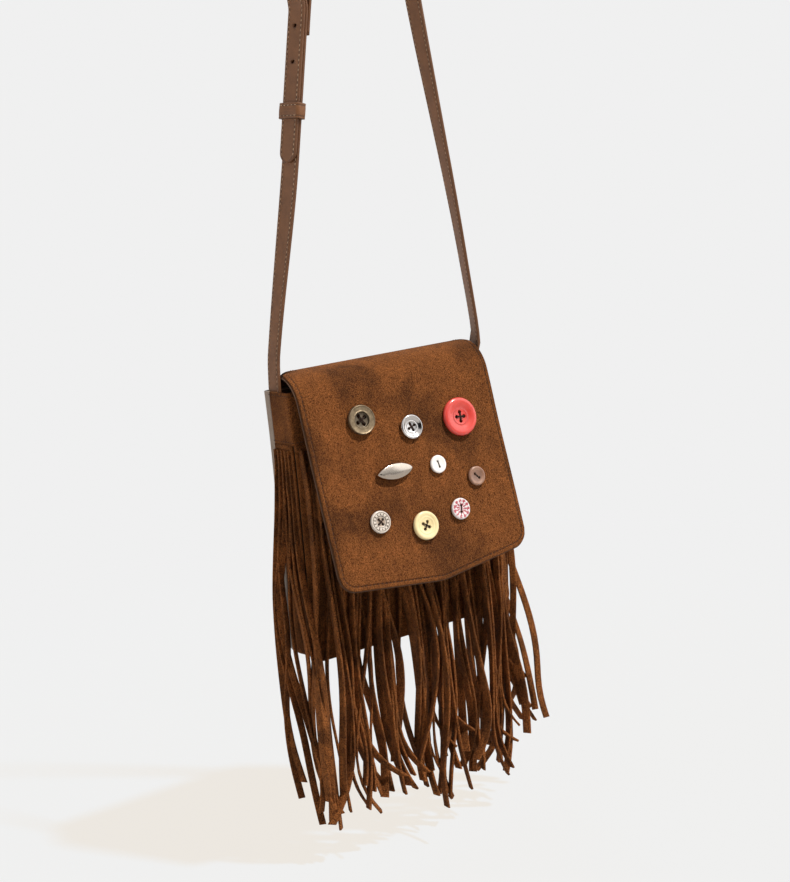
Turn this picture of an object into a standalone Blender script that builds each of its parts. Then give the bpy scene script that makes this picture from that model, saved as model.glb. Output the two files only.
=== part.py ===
"""A small crossbody bag: a suede pouch with a button-covered flap, two rows of
long suede fringe and a buckled shoulder strap.

Bag frame: +X to the right as the front is looked at, +Y to the back, +Z up,
with z = 0 along the top edge of the pouch. Everything hangs from an empty
that puts the underside of the strap's crown at the world's origin.
"""
import math
import random

import bmesh
import bpy
from mathutils import Matrix, Vector

for thing in list(bpy.data.objects):
    bpy.data.objects.remove(thing, do_unlink=True)

FIT = 0.0003             # room between two pieces that touch

# Pouch
POUCH_WIDTH = 0.174
POUCH_HEIGHT = 0.196
POUCH_BACK = 0.017       # how far the back stands behind the straps' plane
DEPTH_TOP = 0.034
DEPTH_FOOT = 0.038
FRONT_BULGE = 0.007      # how far the filled front swells between its seams
FOOT_RADIUS = 0.010
SUEDE = 0.0014
PANEL = 0.0016
LINING = 0.0008
BACK_RIM = 0.0092        # how far the smooth back wraps onto the sides
YOKE_HEIGHT = 0.037
LINING_DROP = 0.002      # how far its mouth lies below the pouch's edge
LINING_DEPTH = 0.188
LINING_CORNER = 0.006

# Fringe
STRIP_WIDTH = 0.0048
STRIP_THICKNESS = 0.0014
FRINGE_HEAD = 0.0045     # uncut edge that the strips hang from
OUTER_STRIPS = 26
INNER_STRIPS = 24
SIDE_STRIPS = 4
OUTER_LENGTH = 0.262
INNER_LENGTH = 0.236
SIDE_LENGTH = 0.258
LENGTH_SPREAD = 0.016
INNER_ROW_DROP = 0.011   # the second row is sewn on below the first
SWING_OUT = 0.008        # length in which a strip leaves the plane of its edge
WALL_FOOT = -0.110       # below this the fringe hangs free of the swollen front
LAYER_STEP = 0.0019      # one strip lies over the next
STRIP_SWAY = 0.0036      # sideways swing of a strip about its own place
BOW_SHARE = 0.4          # the part of that swing that bows the strip's middle
STRIP_STEPS = 6

# Flap
FLAP_WIDTH = 0.1618
FLAP_OFFSET = -0.0058    # it sits a little to the left of the pouch
FLAP_DROP = 0.1328       # from the bend down to the corners
FLAP_POINT = 0.0100      # how far the middle reaches below the corners
POINT_SHIFT = 0.003      # and how far to the right of the middle it does
POINT_RADIUS = 0.040
FLAP_LEAN = math.radians(13.0)
FLAP_CORNER = 0.011
CROWN_TOP = 0.0136       # height of the rounded fold over the pouch
CROWN_RIDGE = -0.0083    # where the fold is highest, front to back
BEND_RADIUS = 0.0266
BACKING = 0.0010
BACKING_LIP = 0.0008     # the backing shows as a thin line round the flap
CROWN_DRAW_LEFT = 0.0118 # the fold's left end is drawn in clear of the strap it lifts past
CROWN_DRAW_RIGHT = 0.0015
DRAW_REACH = 0.039       # from the back seam to where the drawn-in edge ends
DRAW_EASE = 0.011

# Straps
STRAP_WIDTH = 0.015
STRAP_THICKNESS = 0.0024
STRAP_SEWN = 0.030       # length of strap sewn in below the pouch's edge
STRAP_RISE = 0.5077      # from the pouch's edge up to the crown's underside
CROWN_SHIFT = 0.0356     # the crown's place to the right of the pouch's middle
CROWN_BORE = 0.012       # radius of what the strap hangs over
BASE_BEND = 0.050
TWIST = math.radians(17.0)
TWIST_START = 0.045      # lengths along the strap, from its sewn left end
TWIST_FULL = 0.185
TWIST_EASE = 0.350
TWIST_END = 0.470
TIP_PLACE = 0.190
BAR_PLACE = 0.309
TURN_BACK = 0.030        # folded end of the short strap, behind the buckle
FOLD_SPREAD = 0.014      # the two layers part over this length below the bar
FOLD_END = 0.002
DIVE_START = 0.003       # past the bar, where the long strap starts to dive
DIVE_END = 0.0155
EASE_START = 0.003       # past the upper bar, where it comes back into line
EASE_END = 0.018
HOLE_RADIUS = 0.0015
HOLE_PITCH = 0.025
HOLE_COUNT = 5
FIRST_HOLE = 0.070       # from the rounded tip
WIRE_RADIUS = 0.0013
FRAME_LENGTH = 0.020
FRAME_SIDE_ROOM = 0.0010
FRAME_CORNER = 0.003
PRONG_RADIUS = 0.0009
PRONG_CURL_START = math.radians(350)
PRONG_OVERHANG = 0.0025
PRONG_SLOT = 0.0015      # half width of the cut in the fold for the prong
KEEPER_PLACE = 0.226
KEEPER_HEIGHT = 0.011
KEEPER_THICKNESS = 0.0018
KEEPER_ROUND = 0.0008
KEEPER_ROOM = 0.0004

half_width = POUCH_WIDTH / 2
gusset_half = half_width - SUEDE - FIT
flap_half = FLAP_WIDTH / 2

hanger = bpy.data.objects.new("bag_hanger", None)
bpy.context.collection.objects.link(hanger)
hanger.location = (-CROWN_SHIFT, 0, -STRAP_RISE)


def make_material(name, colour, roughness, metallic=0.0):
    material = bpy.data.materials.new(name)
    material.use_nodes = True
    shader = material.node_tree.nodes["Principled BSDF"]
    shader.inputs["Base Color"].default_value = (*colour, 1)
    shader.inputs["Roughness"].default_value = roughness
    shader.inputs["Metallic"].default_value = metallic
    return material


# Finishes: colour, roughness, metallic
BROWN_SUEDE = ((0.23, 0.115, 0.05), 0.95, 0.0)
STRAP_LEATHER = ((0.36, 0.27, 0.20), 0.5, 0.0)
BACK_LEATHER = ((0.33, 0.28, 0.23), 0.55, 0.0)
FLAP_BACKING = ((0.42, 0.30, 0.21), 0.7, 0.0)
LINING_CLOTH = ((0.20, 0.15, 0.10), 0.9, 0.0)
THREAD = ((0.05, 0.025, 0.012), 0.8, 0.0)
AGED_BRASS = ((0.38, 0.26, 0.12), 0.4, 1.0)
STEEL = ((0.60, 0.59, 0.57), 0.2, 1.0)


def add_object(name, mesh, finish, location=(0, 0, 0), parent=None):
    """Link a mesh as one named sub-part with its own material."""
    colour, roughness, metallic = finish
    mesh.materials.append(make_material(name, colour, roughness, metallic))
    piece = bpy.data.objects.new(name, mesh)
    bpy.context.collection.objects.link(piece)
    piece.location = location
    piece.parent = parent or hanger
    return piece


def mesh_from(form, name, smooth_angle=None):
    bmesh.ops.recalc_face_normals(form, faces=form.faces)
    mesh = bpy.data.meshes.new(name)
    form.to_mesh(mesh)
    form.free()
    if smooth_angle:
        mesh.shade_smooth()
        mesh.set_sharp_from_angle(angle=math.radians(smooth_angle))
    return mesh


def join_rings(form, rings, ends=True, closed=False):
    """Walls between rings of corners, with a face over each open end."""
    loops = [[form.verts.new(point) for point in ring] for ring in rings]
    spans = list(zip(loops, loops[1:]))
    if closed:
        spans.append((loops[-1], loops[0]))
    for near, far in spans:
        for i in range(len(near)):
            j = (i + 1) % len(near)
            form.faces.new((near[i], near[j], far[j], far[i]))
    if ends and not closed:
        form.faces.new(loops[0])
        form.faces.new(loops[-1])
    return loops


def cut(piece, cutter):
    """Let a hidden shape cut a piece."""
    cutter.hide_render = True
    cutter.display_type = "WIRE"
    modifier = piece.modifiers.new("cut", "BOOLEAN")
    modifier.operation = "DIFFERENCE"
    modifier.object = cutter


def smooth_step(value, start, end):
    share = min(max((value - start) / (end - start), 0.0), 1.0)
    return share * share * (3 - 2 * share)


def even_steps(start, end, count):
    return [start + (end - start) * i / count for i in range(count + 1)]


# The pouch

def front_depth(z):
    """Depth of the pouch at its side seams, which grows towards the foot."""
    return DEPTH_TOP + (DEPTH_FOOT - DEPTH_TOP) * min(-z / POUCH_HEIGHT, 1.0)


def front_face(x, z):
    """y of the front panel's outer face: straight at its seams, swollen between."""
    across = max(0.0, 1 - (x / half_width) ** 2)
    down = max(0.0, math.sin(math.pi * min(max(-z / POUCH_HEIGHT, 0.0), 1.0)))
    return POUCH_BACK - front_depth(z) - FRONT_BULGE * across * down


def side_outline(inset=0.0, top=0.0):
    """Corners down the left side, round the foot and up the right, as (x, z)."""
    wide = half_width - inset
    foot = -POUCH_HEIGHT + inset
    radius = FOOT_RADIUS - inset
    left = [(-wide, z) for z in even_steps(top, foot + radius, 6)]
    for step in range(1, 4):
        turn = math.pi / 2 * step / 4
        left.append((-wide + radius * (1 - math.cos(turn)), foot + radius * (1 - math.sin(turn))))
    left += [(x, foot) for x in even_steps(-wide + radius, 0.0, 4)]
    return left + [(-x, z) for x, z in reversed(left[:-1])]


def ribbon_round_pouch(name, outer_inset, thickness, near, far, finish):
    """A strip that runs down one side, under the foot and up the other."""
    outside = side_outline(outer_inset)
    inside = side_outline(outer_inset + thickness)
    rings = []
    for (xo, zo), (xi, zi) in zip(outside, inside):
        zi = min(zi, 0.0)
        rings.append([(xo, near(zo), zo), (xo, far, zo), (xi, far, zi), (xi, near(zi), zi)])
    form = bmesh.new()
    join_rings(form, rings)
    return add_object(name, mesh_from(form, name, 40), finish)


gusset_back = POUCH_BACK - BACK_RIM - FIT
ribbon_round_pouch(
    "gusset", SUEDE + FIT, PANEL,
    lambda z: POUCH_BACK - front_depth(z) + PANEL + FIT, gusset_back,
    BROWN_SUEDE)


def outline_prism(name, outline, y_near, y_far):
    form = bmesh.new()
    join_rings(form, [[(x, y, z) for x, z in outline] for y in (y_near, y_far)])
    return mesh_from(form, name)


back_panel = add_object(
    "back_panel", outline_prism("back_panel", side_outline(), POUCH_BACK - BACK_RIM, POUCH_BACK),
    BACK_LEATHER)
back_hollow = add_object(
    "back_hollow", outline_prism("back_hollow", side_outline(PANEL, top=0.01), 0.0, POUCH_BACK - PANEL),
    BACK_LEATHER)
cut(back_panel, back_hollow)


def side_at(z, inset):
    """Half width of the outline at a height, inside the rounded foot."""
    rise = z + POUCH_HEIGHT - inset
    radius = FOOT_RADIUS - inset
    if rise >= radius:
        return half_width - inset
    return half_width - inset - radius + math.sqrt(max(radius ** 2 - (radius - rise) ** 2, 0.0))


def sheet_solid(front_rows, back_rows):
    """A closed sheet between two matching grids of points."""
    form = bmesh.new()
    faces = [[[form.verts.new(p) for p in row] for row in rows] for rows in (front_rows, back_rows)]
    for side in faces:
        for upper, lower in zip(side, side[1:]):
            for i in range(len(upper) - 1):
                form.faces.new((upper[i], upper[i + 1], lower[i + 1], lower[i]))
    front, back = faces
    edges = [(front[0], back[0]), (front[-1], back[-1])]
    edges.append(([row[0] for row in front], [row[0] for row in back]))
    edges.append(([row[-1] for row in front], [row[-1] for row in back]))
    for near, far in edges:
        for i in range(len(near) - 1):
            form.faces.new((near[i], near[i + 1], far[i + 1], far[i]))
    return form


def make_front_panel():
    inset = SUEDE + FIT
    foot = -POUCH_HEIGHT + inset
    heights = even_steps(0.0, foot + FOOT_RADIUS, 8)
    heights += [foot + FOOT_RADIUS * share for share in (0.6, 0.3, 0.1, 0.0)]
    front_rows = []
    back_rows = []
    for z in heights:
        wide = side_at(z, inset)
        columns = even_steps(-wide, wide, 10)
        front_rows.append([(x, front_face(x, z), z) for x in columns])
        back_rows.append([(x, front_face(x, z) + PANEL, z) for x in columns])
    add_object("front_panel", mesh_from(sheet_solid(front_rows, back_rows), "front_panel", 40),
               BROWN_SUEDE)


make_front_panel()


def make_lining():
    """A loose cloth pouch inside the walls, clear of the sewn strap ends."""
    inset = SUEDE + PANEL + STRAP_THICKNESS + 3 * FIT
    back = POUCH_BACK - PANEL - FIT

    def plan(z, shrink):
        wide = half_width - inset - shrink
        near = POUCH_BACK - front_depth(z) + PANEL + FIT + shrink
        far = back - shrink
        radius = LINING_CORNER - shrink
        points = []
        for cx, cy, start in ((wide, near, -90), (wide, far, 0), (-wide, far, 90), (-wide, near, 180)):
            sx = math.copysign(1, cx)
            sy = 1 if cy == far else -1
            for step in range(4):
                turn = math.radians(start + 30 * step)
                points.append((cx + radius * (math.cos(turn) - sx), cy + radius * (math.sin(turn) - sy), z))
        return points

    levels = even_steps(-LINING_DROP, -LINING_DEPTH, 4)
    outer = [plan(z, 0.0) for z in reversed(levels)]
    inner = [plan(z, LINING) for z in levels]
    inner[-1] = [(x, y, z + LINING) for x, y, z in inner[-1]]
    form = bmesh.new()
    join_rings(form, outer + inner)
    add_object("lining", mesh_from(form, "lining", 40), LINING_CLOTH)


make_lining()


def make_yoke():
    """The band round the top: along both sides and across the front."""
    corner = SUEDE + 2 * FIT

    def plan(z, shrink):
        wide = half_width - shrink
        radius = corner - shrink
        near = POUCH_BACK - front_depth(z) - SUEDE - FIT + shrink
        left = [(-wide, y, z) for y in even_steps(gusset_back, near + radius, 2)]
        for step in range(1, 3):
            turn = math.pi / 2 * step / 3
            left.append((-wide + radius * (1 - math.cos(turn)), near + radius * (1 - math.sin(turn)), z))
        columns = even_steps(-wide + radius, 0.0, 5)
        left += [(x, front_face(x, z) - SUEDE - FIT + shrink, z) for x in columns]
        return left + [(-x, y, z) for x, y, z in reversed(left[:-1])]

    levels = even_steps(0.0, -YOKE_HEIGHT, 3)
    outer = [plan(z, 0.0) for z in levels]
    inner = [plan(z, SUEDE) for z in levels]
    add_object("yoke", mesh_from(sheet_solid(outer, inner), "yoke", 40), BROWN_SUEDE)


make_yoke()


# The fringe

def make_fringe(name, place, start, end, count, top, length, stand, seed, sway=STRIP_SWAY):
    """One cut piece of suede: an uncut edge with strips hanging from it.

    place(u, d, z) gives the point that lies u along the row, d out from the
    wall behind it and at height z. The strips hang stand further out than
    their edge does.
    """
    rest = FIT
    chance = random.Random(seed)
    pitch = (end - start - STRIP_WIDTH) / (count - 1)
    form = bmesh.new()
    head_foot = top - FRINGE_HEAD
    lines = []
    for i in range(count):
        lines += [start + pitch * i, start + pitch * i + STRIP_WIDTH]
    corners = {}
    for i, u in enumerate(lines):
        for z in (top, head_foot):
            for d in (rest, rest + STRIP_THICKNESS):
                corners[i, z, d] = form.verts.new(place(u, d, z))
    near, far = rest + STRIP_THICKNESS, rest

    def face(*keys):
        form.faces.new([corners[key] for key in keys])

    for i in range(len(lines) - 1):
        for d in (near, far):
            face((i, top, d), (i + 1, top, d), (i + 1, head_foot, d), (i, head_foot, d))
        face((i, top, near), (i + 1, top, near), (i + 1, top, far), (i, top, far))
        if i % 2:
            face((i, head_foot, near), (i + 1, head_foot, near), (i + 1, head_foot, far), (i, head_foot, far))
    for i in (0, len(lines) - 1):
        face((i, top, near), (i, head_foot, near), (i, head_foot, far), (i, top, far))

    for strip in range(count):
        middle = start + pitch * strip + STRIP_WIDTH / 2
        reach = length + chance.uniform(-1, 1) * LENGTH_SPREAD
        swing = chance.uniform(-1, 1) * sway * (1 - BOW_SHARE)
        bow = chance.uniform(-1, 1) * sway * BOW_SHARE
        out = rest + stand + LAYER_STEP * (strip % 2)
        ring = [corners[2 * strip, head_foot, near], corners[2 * strip + 1, head_foot, near],
                corners[2 * strip + 1, head_foot, far], corners[2 * strip, head_foot, far]]
        for fall in even_steps(SWING_OUT, reach, STRIP_STEPS):
            share = fall / reach
            z = head_foot - fall
            u = middle + swing * share ** 1.5 + bow * math.sin(math.pi * share)
            lower = [form.verts.new(place(u - STRIP_WIDTH / 2, out + STRIP_THICKNESS, z)),
                     form.verts.new(place(u + STRIP_WIDTH / 2, out + STRIP_THICKNESS, z)),
                     form.verts.new(place(u + STRIP_WIDTH / 2, out, z)),
                     form.verts.new(place(u - STRIP_WIDTH / 2, out, z))]
            for i in range(4):
                j = (i + 1) % 4
                form.faces.new((ring[i], ring[j], lower[j], lower[i]))
            ring = lower
        form.faces.new(ring)
    add_object(name, mesh_from(form, name, 40), BROWN_SUEDE)


def in_front(u, d, z):
    """A place on the front: along the swollen panel, then straight down."""
    held = front_face(u, max(z, WALL_FOOT))
    foot = front_face(u, max(z, -POUCH_HEIGHT))
    return (u, min(held, foot) - d, z)


fringe_top = -YOKE_HEIGHT - FIT
row_end = half_width - SUEDE - FIT
make_fringe("fringe_outer", in_front, -row_end, row_end, OUTER_STRIPS,
            fringe_top, OUTER_LENGTH, 2 * LAYER_STEP, seed=4)
inner_end = row_end - STRIP_WIDTH
make_fringe("fringe_inner", in_front, -inner_end, inner_end, INNER_STRIPS,
            fringe_top - FRINGE_HEAD - INNER_ROW_DROP, INNER_LENGTH, 0.0, seed=9)


def beside(side):
    def place(u, d, z):
        return (side * (gusset_half + d), u, z)
    return place


side_front = POUCH_BACK - DEPTH_TOP + PANEL
make_fringe("fringe_left", beside(-1), side_front, gusset_back - FIT, SIDE_STRIPS,
            fringe_top, SIDE_LENGTH, 0.0, seed=2, sway=STRIP_SWAY / 3)
make_fringe("fringe_right", beside(1), side_front, gusset_back - FIT, SIDE_STRIPS,
            fringe_top, SIDE_LENGTH, 0.0, seed=6, sway=STRIP_SWAY / 3)


# The flap

seam = Vector((0, POUCH_BACK, FIT))
bend_turn = math.pi / 2 - FLAP_LEAN
bend_centre = Vector((0, CROWN_RIDGE, CROWN_TOP - BEND_RADIUS))
bend_end = bend_centre + BEND_RADIUS * Vector((0, -math.sin(bend_turn), math.cos(bend_turn)))


def crown_profile(depth):
    """Points over the pouch's top from the back seam to the bend's end.

    depth is measured inwards from the outer surface of the suede.
    """
    points = []
    long_axis = POUCH_BACK - CROWN_RIDGE - depth
    short_axis = CROWN_TOP - FIT - depth
    for step in range(8):
        turn = math.pi / 2 * step / 8
        points.append((CROWN_RIDGE + long_axis * math.cos(turn), FIT + short_axis * math.sin(turn)))
    radius = BEND_RADIUS - depth
    for step in range(9):
        turn = bend_turn * step / 8
        points.append((bend_centre.y - radius * math.sin(turn), bend_centre.z + radius * math.cos(turn)))
    return points


def make_crown(name, outer, inner, lip, finish):
    """The part of the flap that lies over the pouch, as a swept strip."""
    rings = []
    for (yo, zo), (yi, zi) in zip(crown_profile(outer), crown_profile(inner)):
        reach = math.hypot(yo - seam.y, zo - seam.z)
        drawn = 1 - smooth_step(reach, DRAW_REACH, DRAW_REACH + DRAW_EASE)
        left = FLAP_OFFSET - flap_half - lip + CROWN_DRAW_LEFT * drawn
        right = FLAP_OFFSET + flap_half + lip - CROWN_DRAW_RIGHT * drawn
        rings.append([(left, yo, zo), (right, yo, zo), (right, yi, zi), (left, yi, zi)])
    form = bmesh.new()
    join_rings(form, [[Vector(p) - seam for p in ring] for ring in rings])
    return add_object(name, mesh_from(form, name, 40), finish, seam)


make_crown("flap_crown", 0.0, SUEDE, 0.0, BROWN_SUEDE)
make_crown("flap_crown_backing", SUEDE + FIT, SUEDE + FIT + BACKING, BACKING_LIP,
           FLAP_BACKING)

flap_frame = bpy.data.objects.new("flap_frame", None)
bpy.context.collection.objects.link(flap_frame)
flap_frame.parent = hanger
flap_frame.location = bend_end
# Local X runs along the bend, Y up the flap and Z out of its face.
flap_frame.rotation_euler = (math.pi / 2 - FLAP_LEAN, 0, 0)


def round_corner(corner, before, after, radius, steps=5):
    """Points of the arc that rounds one corner of an outline."""
    corner, before, after = (Vector(p) for p in (corner, before, after))
    to_before = (before - corner).normalized()
    to_after = (after - corner).normalized()
    half = to_before.angle(to_after) / 2
    reach = radius / math.tan(half)
    centre = corner + (to_before + to_after).normalized() * (radius / math.sin(half))
    first = corner + to_before * reach - centre
    last = corner + to_after * reach - centre
    points = []
    for step in range(steps + 1):
        share = step / steps
        arm = first.lerp(last, share).normalized() * radius
        points.append(tuple(centre + arm))
    return points


def flap_outline(grow):
    """Outline of the front of the flap, in its own plane, from the bend down."""
    left = FLAP_OFFSET - flap_half - grow
    right = FLAP_OFFSET + flap_half + grow
    foot = -FLAP_DROP - grow
    point = (FLAP_OFFSET + POINT_SHIFT, foot - FLAP_POINT)
    top = -2 * FIT
    radius = FLAP_CORNER + grow
    outline = [(left, top)]
    outline += round_corner((left, foot), (left, top), point, radius)
    outline += round_corner(point, (left, foot), (right, foot), POINT_RADIUS, 4)
    outline += round_corner((right, foot), point, (right, top), radius)
    outline.append((right, top))
    return outline


def make_flap(name, outer, inner, lip, finish):
    outline = flap_outline(lip)
    form = bmesh.new()
    join_rings(form, [[(x, y, -z) for x, y in outline] for z in (outer, inner)])
    return add_object(name, mesh_from(form, name), finish, parent=flap_frame)


make_flap("flap", 0.0, SUEDE, 0.0, BROWN_SUEDE)
make_flap("flap_backing", SUEDE + FIT, SUEDE + FIT + BACKING, BACKING_LIP, FLAP_BACKING)


# The buttons

def turned(name, profile, sides=24):
    """A shape turned round Z from (radius, height) points that start and end on it."""
    form = bmesh.new()
    rings = []
    for radius, height in profile[1:-1]:
        turns = [2 * math.pi * i / sides for i in range(sides)]
        rings.append([(radius * math.cos(turn), radius * math.sin(turn), height) for turn in turns])
    loops = join_rings(form, rings, ends=False)
    for (radius, height), loop in ((profile[0], loops[0]), (profile[-1], loops[-1])):
        hub = form.verts.new((0, 0, height))
        for i in range(sides):
            form.faces.new((loop[i], loop[(i + 1) % sides], hub))
    return mesh_from(form, name, 35)


def button_profile(radius, height, rim, well):
    """Half section of a sewn button: flat back, rounded rim, sunken middle."""
    round_off = min(height, rim) * 0.45
    return [(0, 0), (radius - round_off, 0), (radius, round_off), (radius, height - round_off),
            (radius - round_off, height), (radius - rim, height),
            (radius - rim - well, height - well), (0, height - well)]


def make_holes(name, spots, radius, low, high, parent, location):
    form = bmesh.new()
    turns = [math.pi * i / 4 for i in range(8)]
    for x, y in spots:
        join_rings(form, [[(x + radius * math.cos(turn), y + radius * math.sin(turn), z) for turn in turns]
                          for z in (low, high)])
    return add_object(name, mesh_from(form, name), THREAD, location, parent)


def staple(name, reach, turn, width, top, parent, location):
    """One stitch over a button: up through a hole, across and down the next."""
    half = width / 2
    ridge = top + THREAD_FLATNESS * width
    form = bmesh.new()
    rings = []
    for side, low in ((-1, True), (-1, False), (1, False), (1, True)):
        outer = (side * (reach + half), 0.0 if low else ridge)
        inner = (side * (reach - half), 0.0 if low else top)
        rings.append([Matrix.Rotation(turn, 3, "Z") @ Vector((x, y, z))
                      for (x, z), y in ((outer, -half), (outer, half), (inner, half), (inner, -half))])
    join_rings(form, rings)
    return add_object(name, mesh_from(form, name), THREAD, location, parent)


def make_thread(name, holes, reach, turn, width, top, parent, location):
    """One stitch for two holes, or two that cross for four."""
    thread = staple(name, reach, turn, width, top, parent, location)
    if holes == 4:
        second = staple(name + "_second", reach, turn + math.pi / 2, width, top, parent, location)
        second.hide_render = True
        second.display_type = "WIRE"
        modifier = thread.modifiers.new("join", "BOOLEAN")
        modifier.operation = "UNION"
        modifier.object = second


HOLE_PLACE = 0.16        # a hole's distance from the middle, as a share of the button
HOLE_SIZE = 0.07         # its radius, as a share of the button
THREAD_ROOM = 0.00025
THREAD_SHARE = 1.3       # a thread's width against its hole's radius
THREAD_FLATNESS = 0.55

RED_GLOSS = ((0.70, 0.06, 0.035), 0.15, 0.0)
WHITE_GLOSS = ((0.85, 0.83, 0.78), 0.3, 0.0)
TAUPE_GLOSS = ((0.30, 0.22, 0.16), 0.3, 0.0)
PALE_RINGS = ((0.70, 0.64, 0.54), 0.35, 0.0)
CREAM_GLOSS = ((0.75, 0.66, 0.42), 0.25, 0.0)
PINK_GLOSS = ((0.80, 0.45, 0.45), 0.3, 0.0)

# name, diameter, across from the flap's middle, down from the bend, height,
# rim, well, holes, turn of the holes in degrees, finish
BUTTONS = [
    ("button_brass", 0.0215, -0.0364, 0.0187, 0.0034, 0.0026, 0.0016, 4, 20, AGED_BRASS),
    ("button_steel", 0.0180, 0.0024, 0.0310, 0.0030, 0.0022, 0.0012, 4, 35, STEEL),
    ("button_red", 0.0285, 0.0451, 0.0313, 0.0042, 0.0052, 0.0014, 4, 10, RED_GLOSS),
    ("button_white", 0.0132, 0.0175, 0.0614, 0.0026, 0.0020, 0.0009, 2, 60, WHITE_GLOSS),
    ("button_taupe", 0.0144, 0.0483, 0.0762, 0.0026, 0.0020, 0.0009, 2, 30, TAUPE_GLOSS),
    ("button_ringed", 0.0160, -0.0407, 0.0914, 0.0028, 0.0026, 0.0010, 4, 40, PALE_RINGS),
    ("button_cream", 0.0208, -0.0044, 0.1018, 0.0034, 0.0036, 0.0012, 4, 15, CREAM_GLOSS),
    ("button_pink", 0.0157, 0.0282, 0.0965, 0.0026, 0.0020, 0.0006, 2, 50, PINK_GLOSS),
]


def make_button(name, diameter, across, down, height, rim, well, holes, turn, finish):
    place = (FLAP_OFFSET + across, -down, FIT)
    reach = diameter * HOLE_PLACE
    turn = math.radians(turn)
    spots = []
    for i in range(holes):
        angle = turn + 2 * math.pi * i / holes
        spots.append((reach * math.cos(angle), reach * math.sin(angle)))
    hole_radius = diameter * HOLE_SIZE
    mesh = turned(name, button_profile(diameter / 2, height, rim, well))
    button = add_object(name, mesh, finish, place, flap_frame)
    cut(button, make_holes(name + "_holes", spots, hole_radius, -height, 2 * height, flap_frame, place))
    thread_width = (hole_radius - THREAD_ROOM) * THREAD_SHARE
    make_thread("thread_" + name.split("_")[1], holes, reach, turn, thread_width,
                height - well + THREAD_ROOM, flap_frame, place)


for row in BUTTONS:
    make_button(*row)

STUD_LENGTH = 0.0262
STUD_WIDTH = 0.0116
STUD_HEIGHT = 0.0048


def make_stud():
    """A pointed oval stud: two arcs meet at its tips, and its face is domed."""
    half_length = STUD_LENGTH / 2
    half = STUD_WIDTH / 2
    arc_radius = (half_length ** 2 + half ** 2) / (2 * half)
    reach = math.asin(half_length / arc_radius)

    def outline(share, z):
        side = []
        for step in range(9):
            turn = -reach + 2 * reach * step / 9
            bow = arc_radius * math.cos(turn) - arc_radius + half
            side.append((arc_radius * math.sin(turn) * share, bow * share))
        points = side + [(-x, -y) for x, y in side]
        return [(x, y, z) for x, y in points]

    rings = [outline(share, z * STUD_HEIGHT) for share, z in
             ((1.0, 0.0), (1.0, 0.25), (0.94, 0.42), (0.72, 0.74), (0.4, 0.95), (0.12, 1.0))]
    form = bmesh.new()
    join_rings(form, rings)
    stud = add_object("stud_oval", mesh_from(form, "stud_oval", 35), STEEL,
                      (FLAP_OFFSET - 0.0196, -0.0593, FIT), flap_frame)
    stud.rotation_euler = (0, 0, math.radians(22))


make_stud()


# The straps

class Route:
    """The strap's middle line: straight runs and clockwise bends in the XZ plane."""

    def __init__(self, start, heading):
        self.point = Vector(start)
        self.heading = heading
        self.runs = []
        self.length = 0.0

    def straight(self, length):
        self.runs.append((self.length, self.point.copy(), self.heading, None))
        self.point += length * Vector((math.cos(self.heading), math.sin(self.heading)))
        self.length += length

    def bend(self, radius, turn):
        self.runs.append((self.length, self.point.copy(), self.heading, radius))
        hub = self.point + radius * Vector((math.sin(self.heading), -math.cos(self.heading)))
        self.heading -= turn
        self.point = hub - radius * Vector((math.sin(self.heading), -math.cos(self.heading)))
        self.length += radius * turn

    def at(self, along):
        begin, point, heading, radius = [run for run in self.runs if run[0] <= max(along, 0.0)][-1]
        if radius is None:
            return point + (along - begin) * Vector((math.cos(heading), math.sin(heading))), heading
        hub = point + radius * Vector((math.sin(heading), -math.cos(heading)))
        heading -= (along - begin) / radius
        return hub - radius * Vector((math.sin(heading), -math.cos(heading))), heading


strap_foot = gusset_half - PANEL - FIT - STRAP_THICKNESS / 2
hub = Vector((CROWN_SHIFT, STRAP_RISE - CROWN_BORE))
crown_radius = CROWN_BORE + STRAP_THICKNESS / 2


def tangent_from(foot, side):
    """Heading and length of the straight run between a strap's foot and the crown."""
    arm = hub - Vector((foot, 0.0))
    heading = math.atan2(arm.y, arm.x) + side * math.asin(crown_radius / arm.length)
    return heading, math.sqrt(arm.length ** 2 - crown_radius ** 2)


left_heading, left_run = tangent_from(-strap_foot, 1)
right_heading, right_run = tangent_from(strap_foot, -1)
left_turn = math.pi / 2 - left_heading
right_turn = right_heading - math.pi / 2
left_trim = BASE_BEND * math.tan(left_turn / 2)
right_trim = BASE_BEND * math.tan(right_turn / 2)

route = Route((-strap_foot, -STRAP_SEWN), math.pi / 2)
route.straight(STRAP_SEWN - left_trim)
route.bend(BASE_BEND, left_turn)
route.straight(left_run - left_trim)
route.bend(crown_radius, left_heading - right_heading + math.pi)
route.straight(right_run - right_trim)
route.bend(BASE_BEND, right_turn)
route.straight(STRAP_SEWN - right_trim)


def strap_axes(along):
    """Place, direction, outward normal and width axis of the strap, with its twist."""
    point, heading = route.at(along)
    direction = Vector((math.cos(heading), 0, math.sin(heading)))
    outward = Vector((-math.sin(heading), 0, math.cos(heading)))
    turn = TWIST * (smooth_step(along, TWIST_START, TWIST_FULL) - smooth_step(along, TWIST_EASE, TWIST_END))
    across = Vector((0, 1, 0))
    normal = math.cos(turn) * outward - math.sin(turn) * across
    width = math.cos(turn) * across + math.sin(turn) * outward
    return Vector((point.x, 0, point.y)), direction, normal, width


def strap_matrix(along, lift=0.0):
    """Frame at a place on the strap: X across it, Y along it, Z out of its face."""
    point, direction, normal, width = strap_axes(along)
    frame = Matrix((-width, direction, normal)).transposed()
    return Matrix.Translation(point + normal * lift) @ frame.to_4x4()


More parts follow.
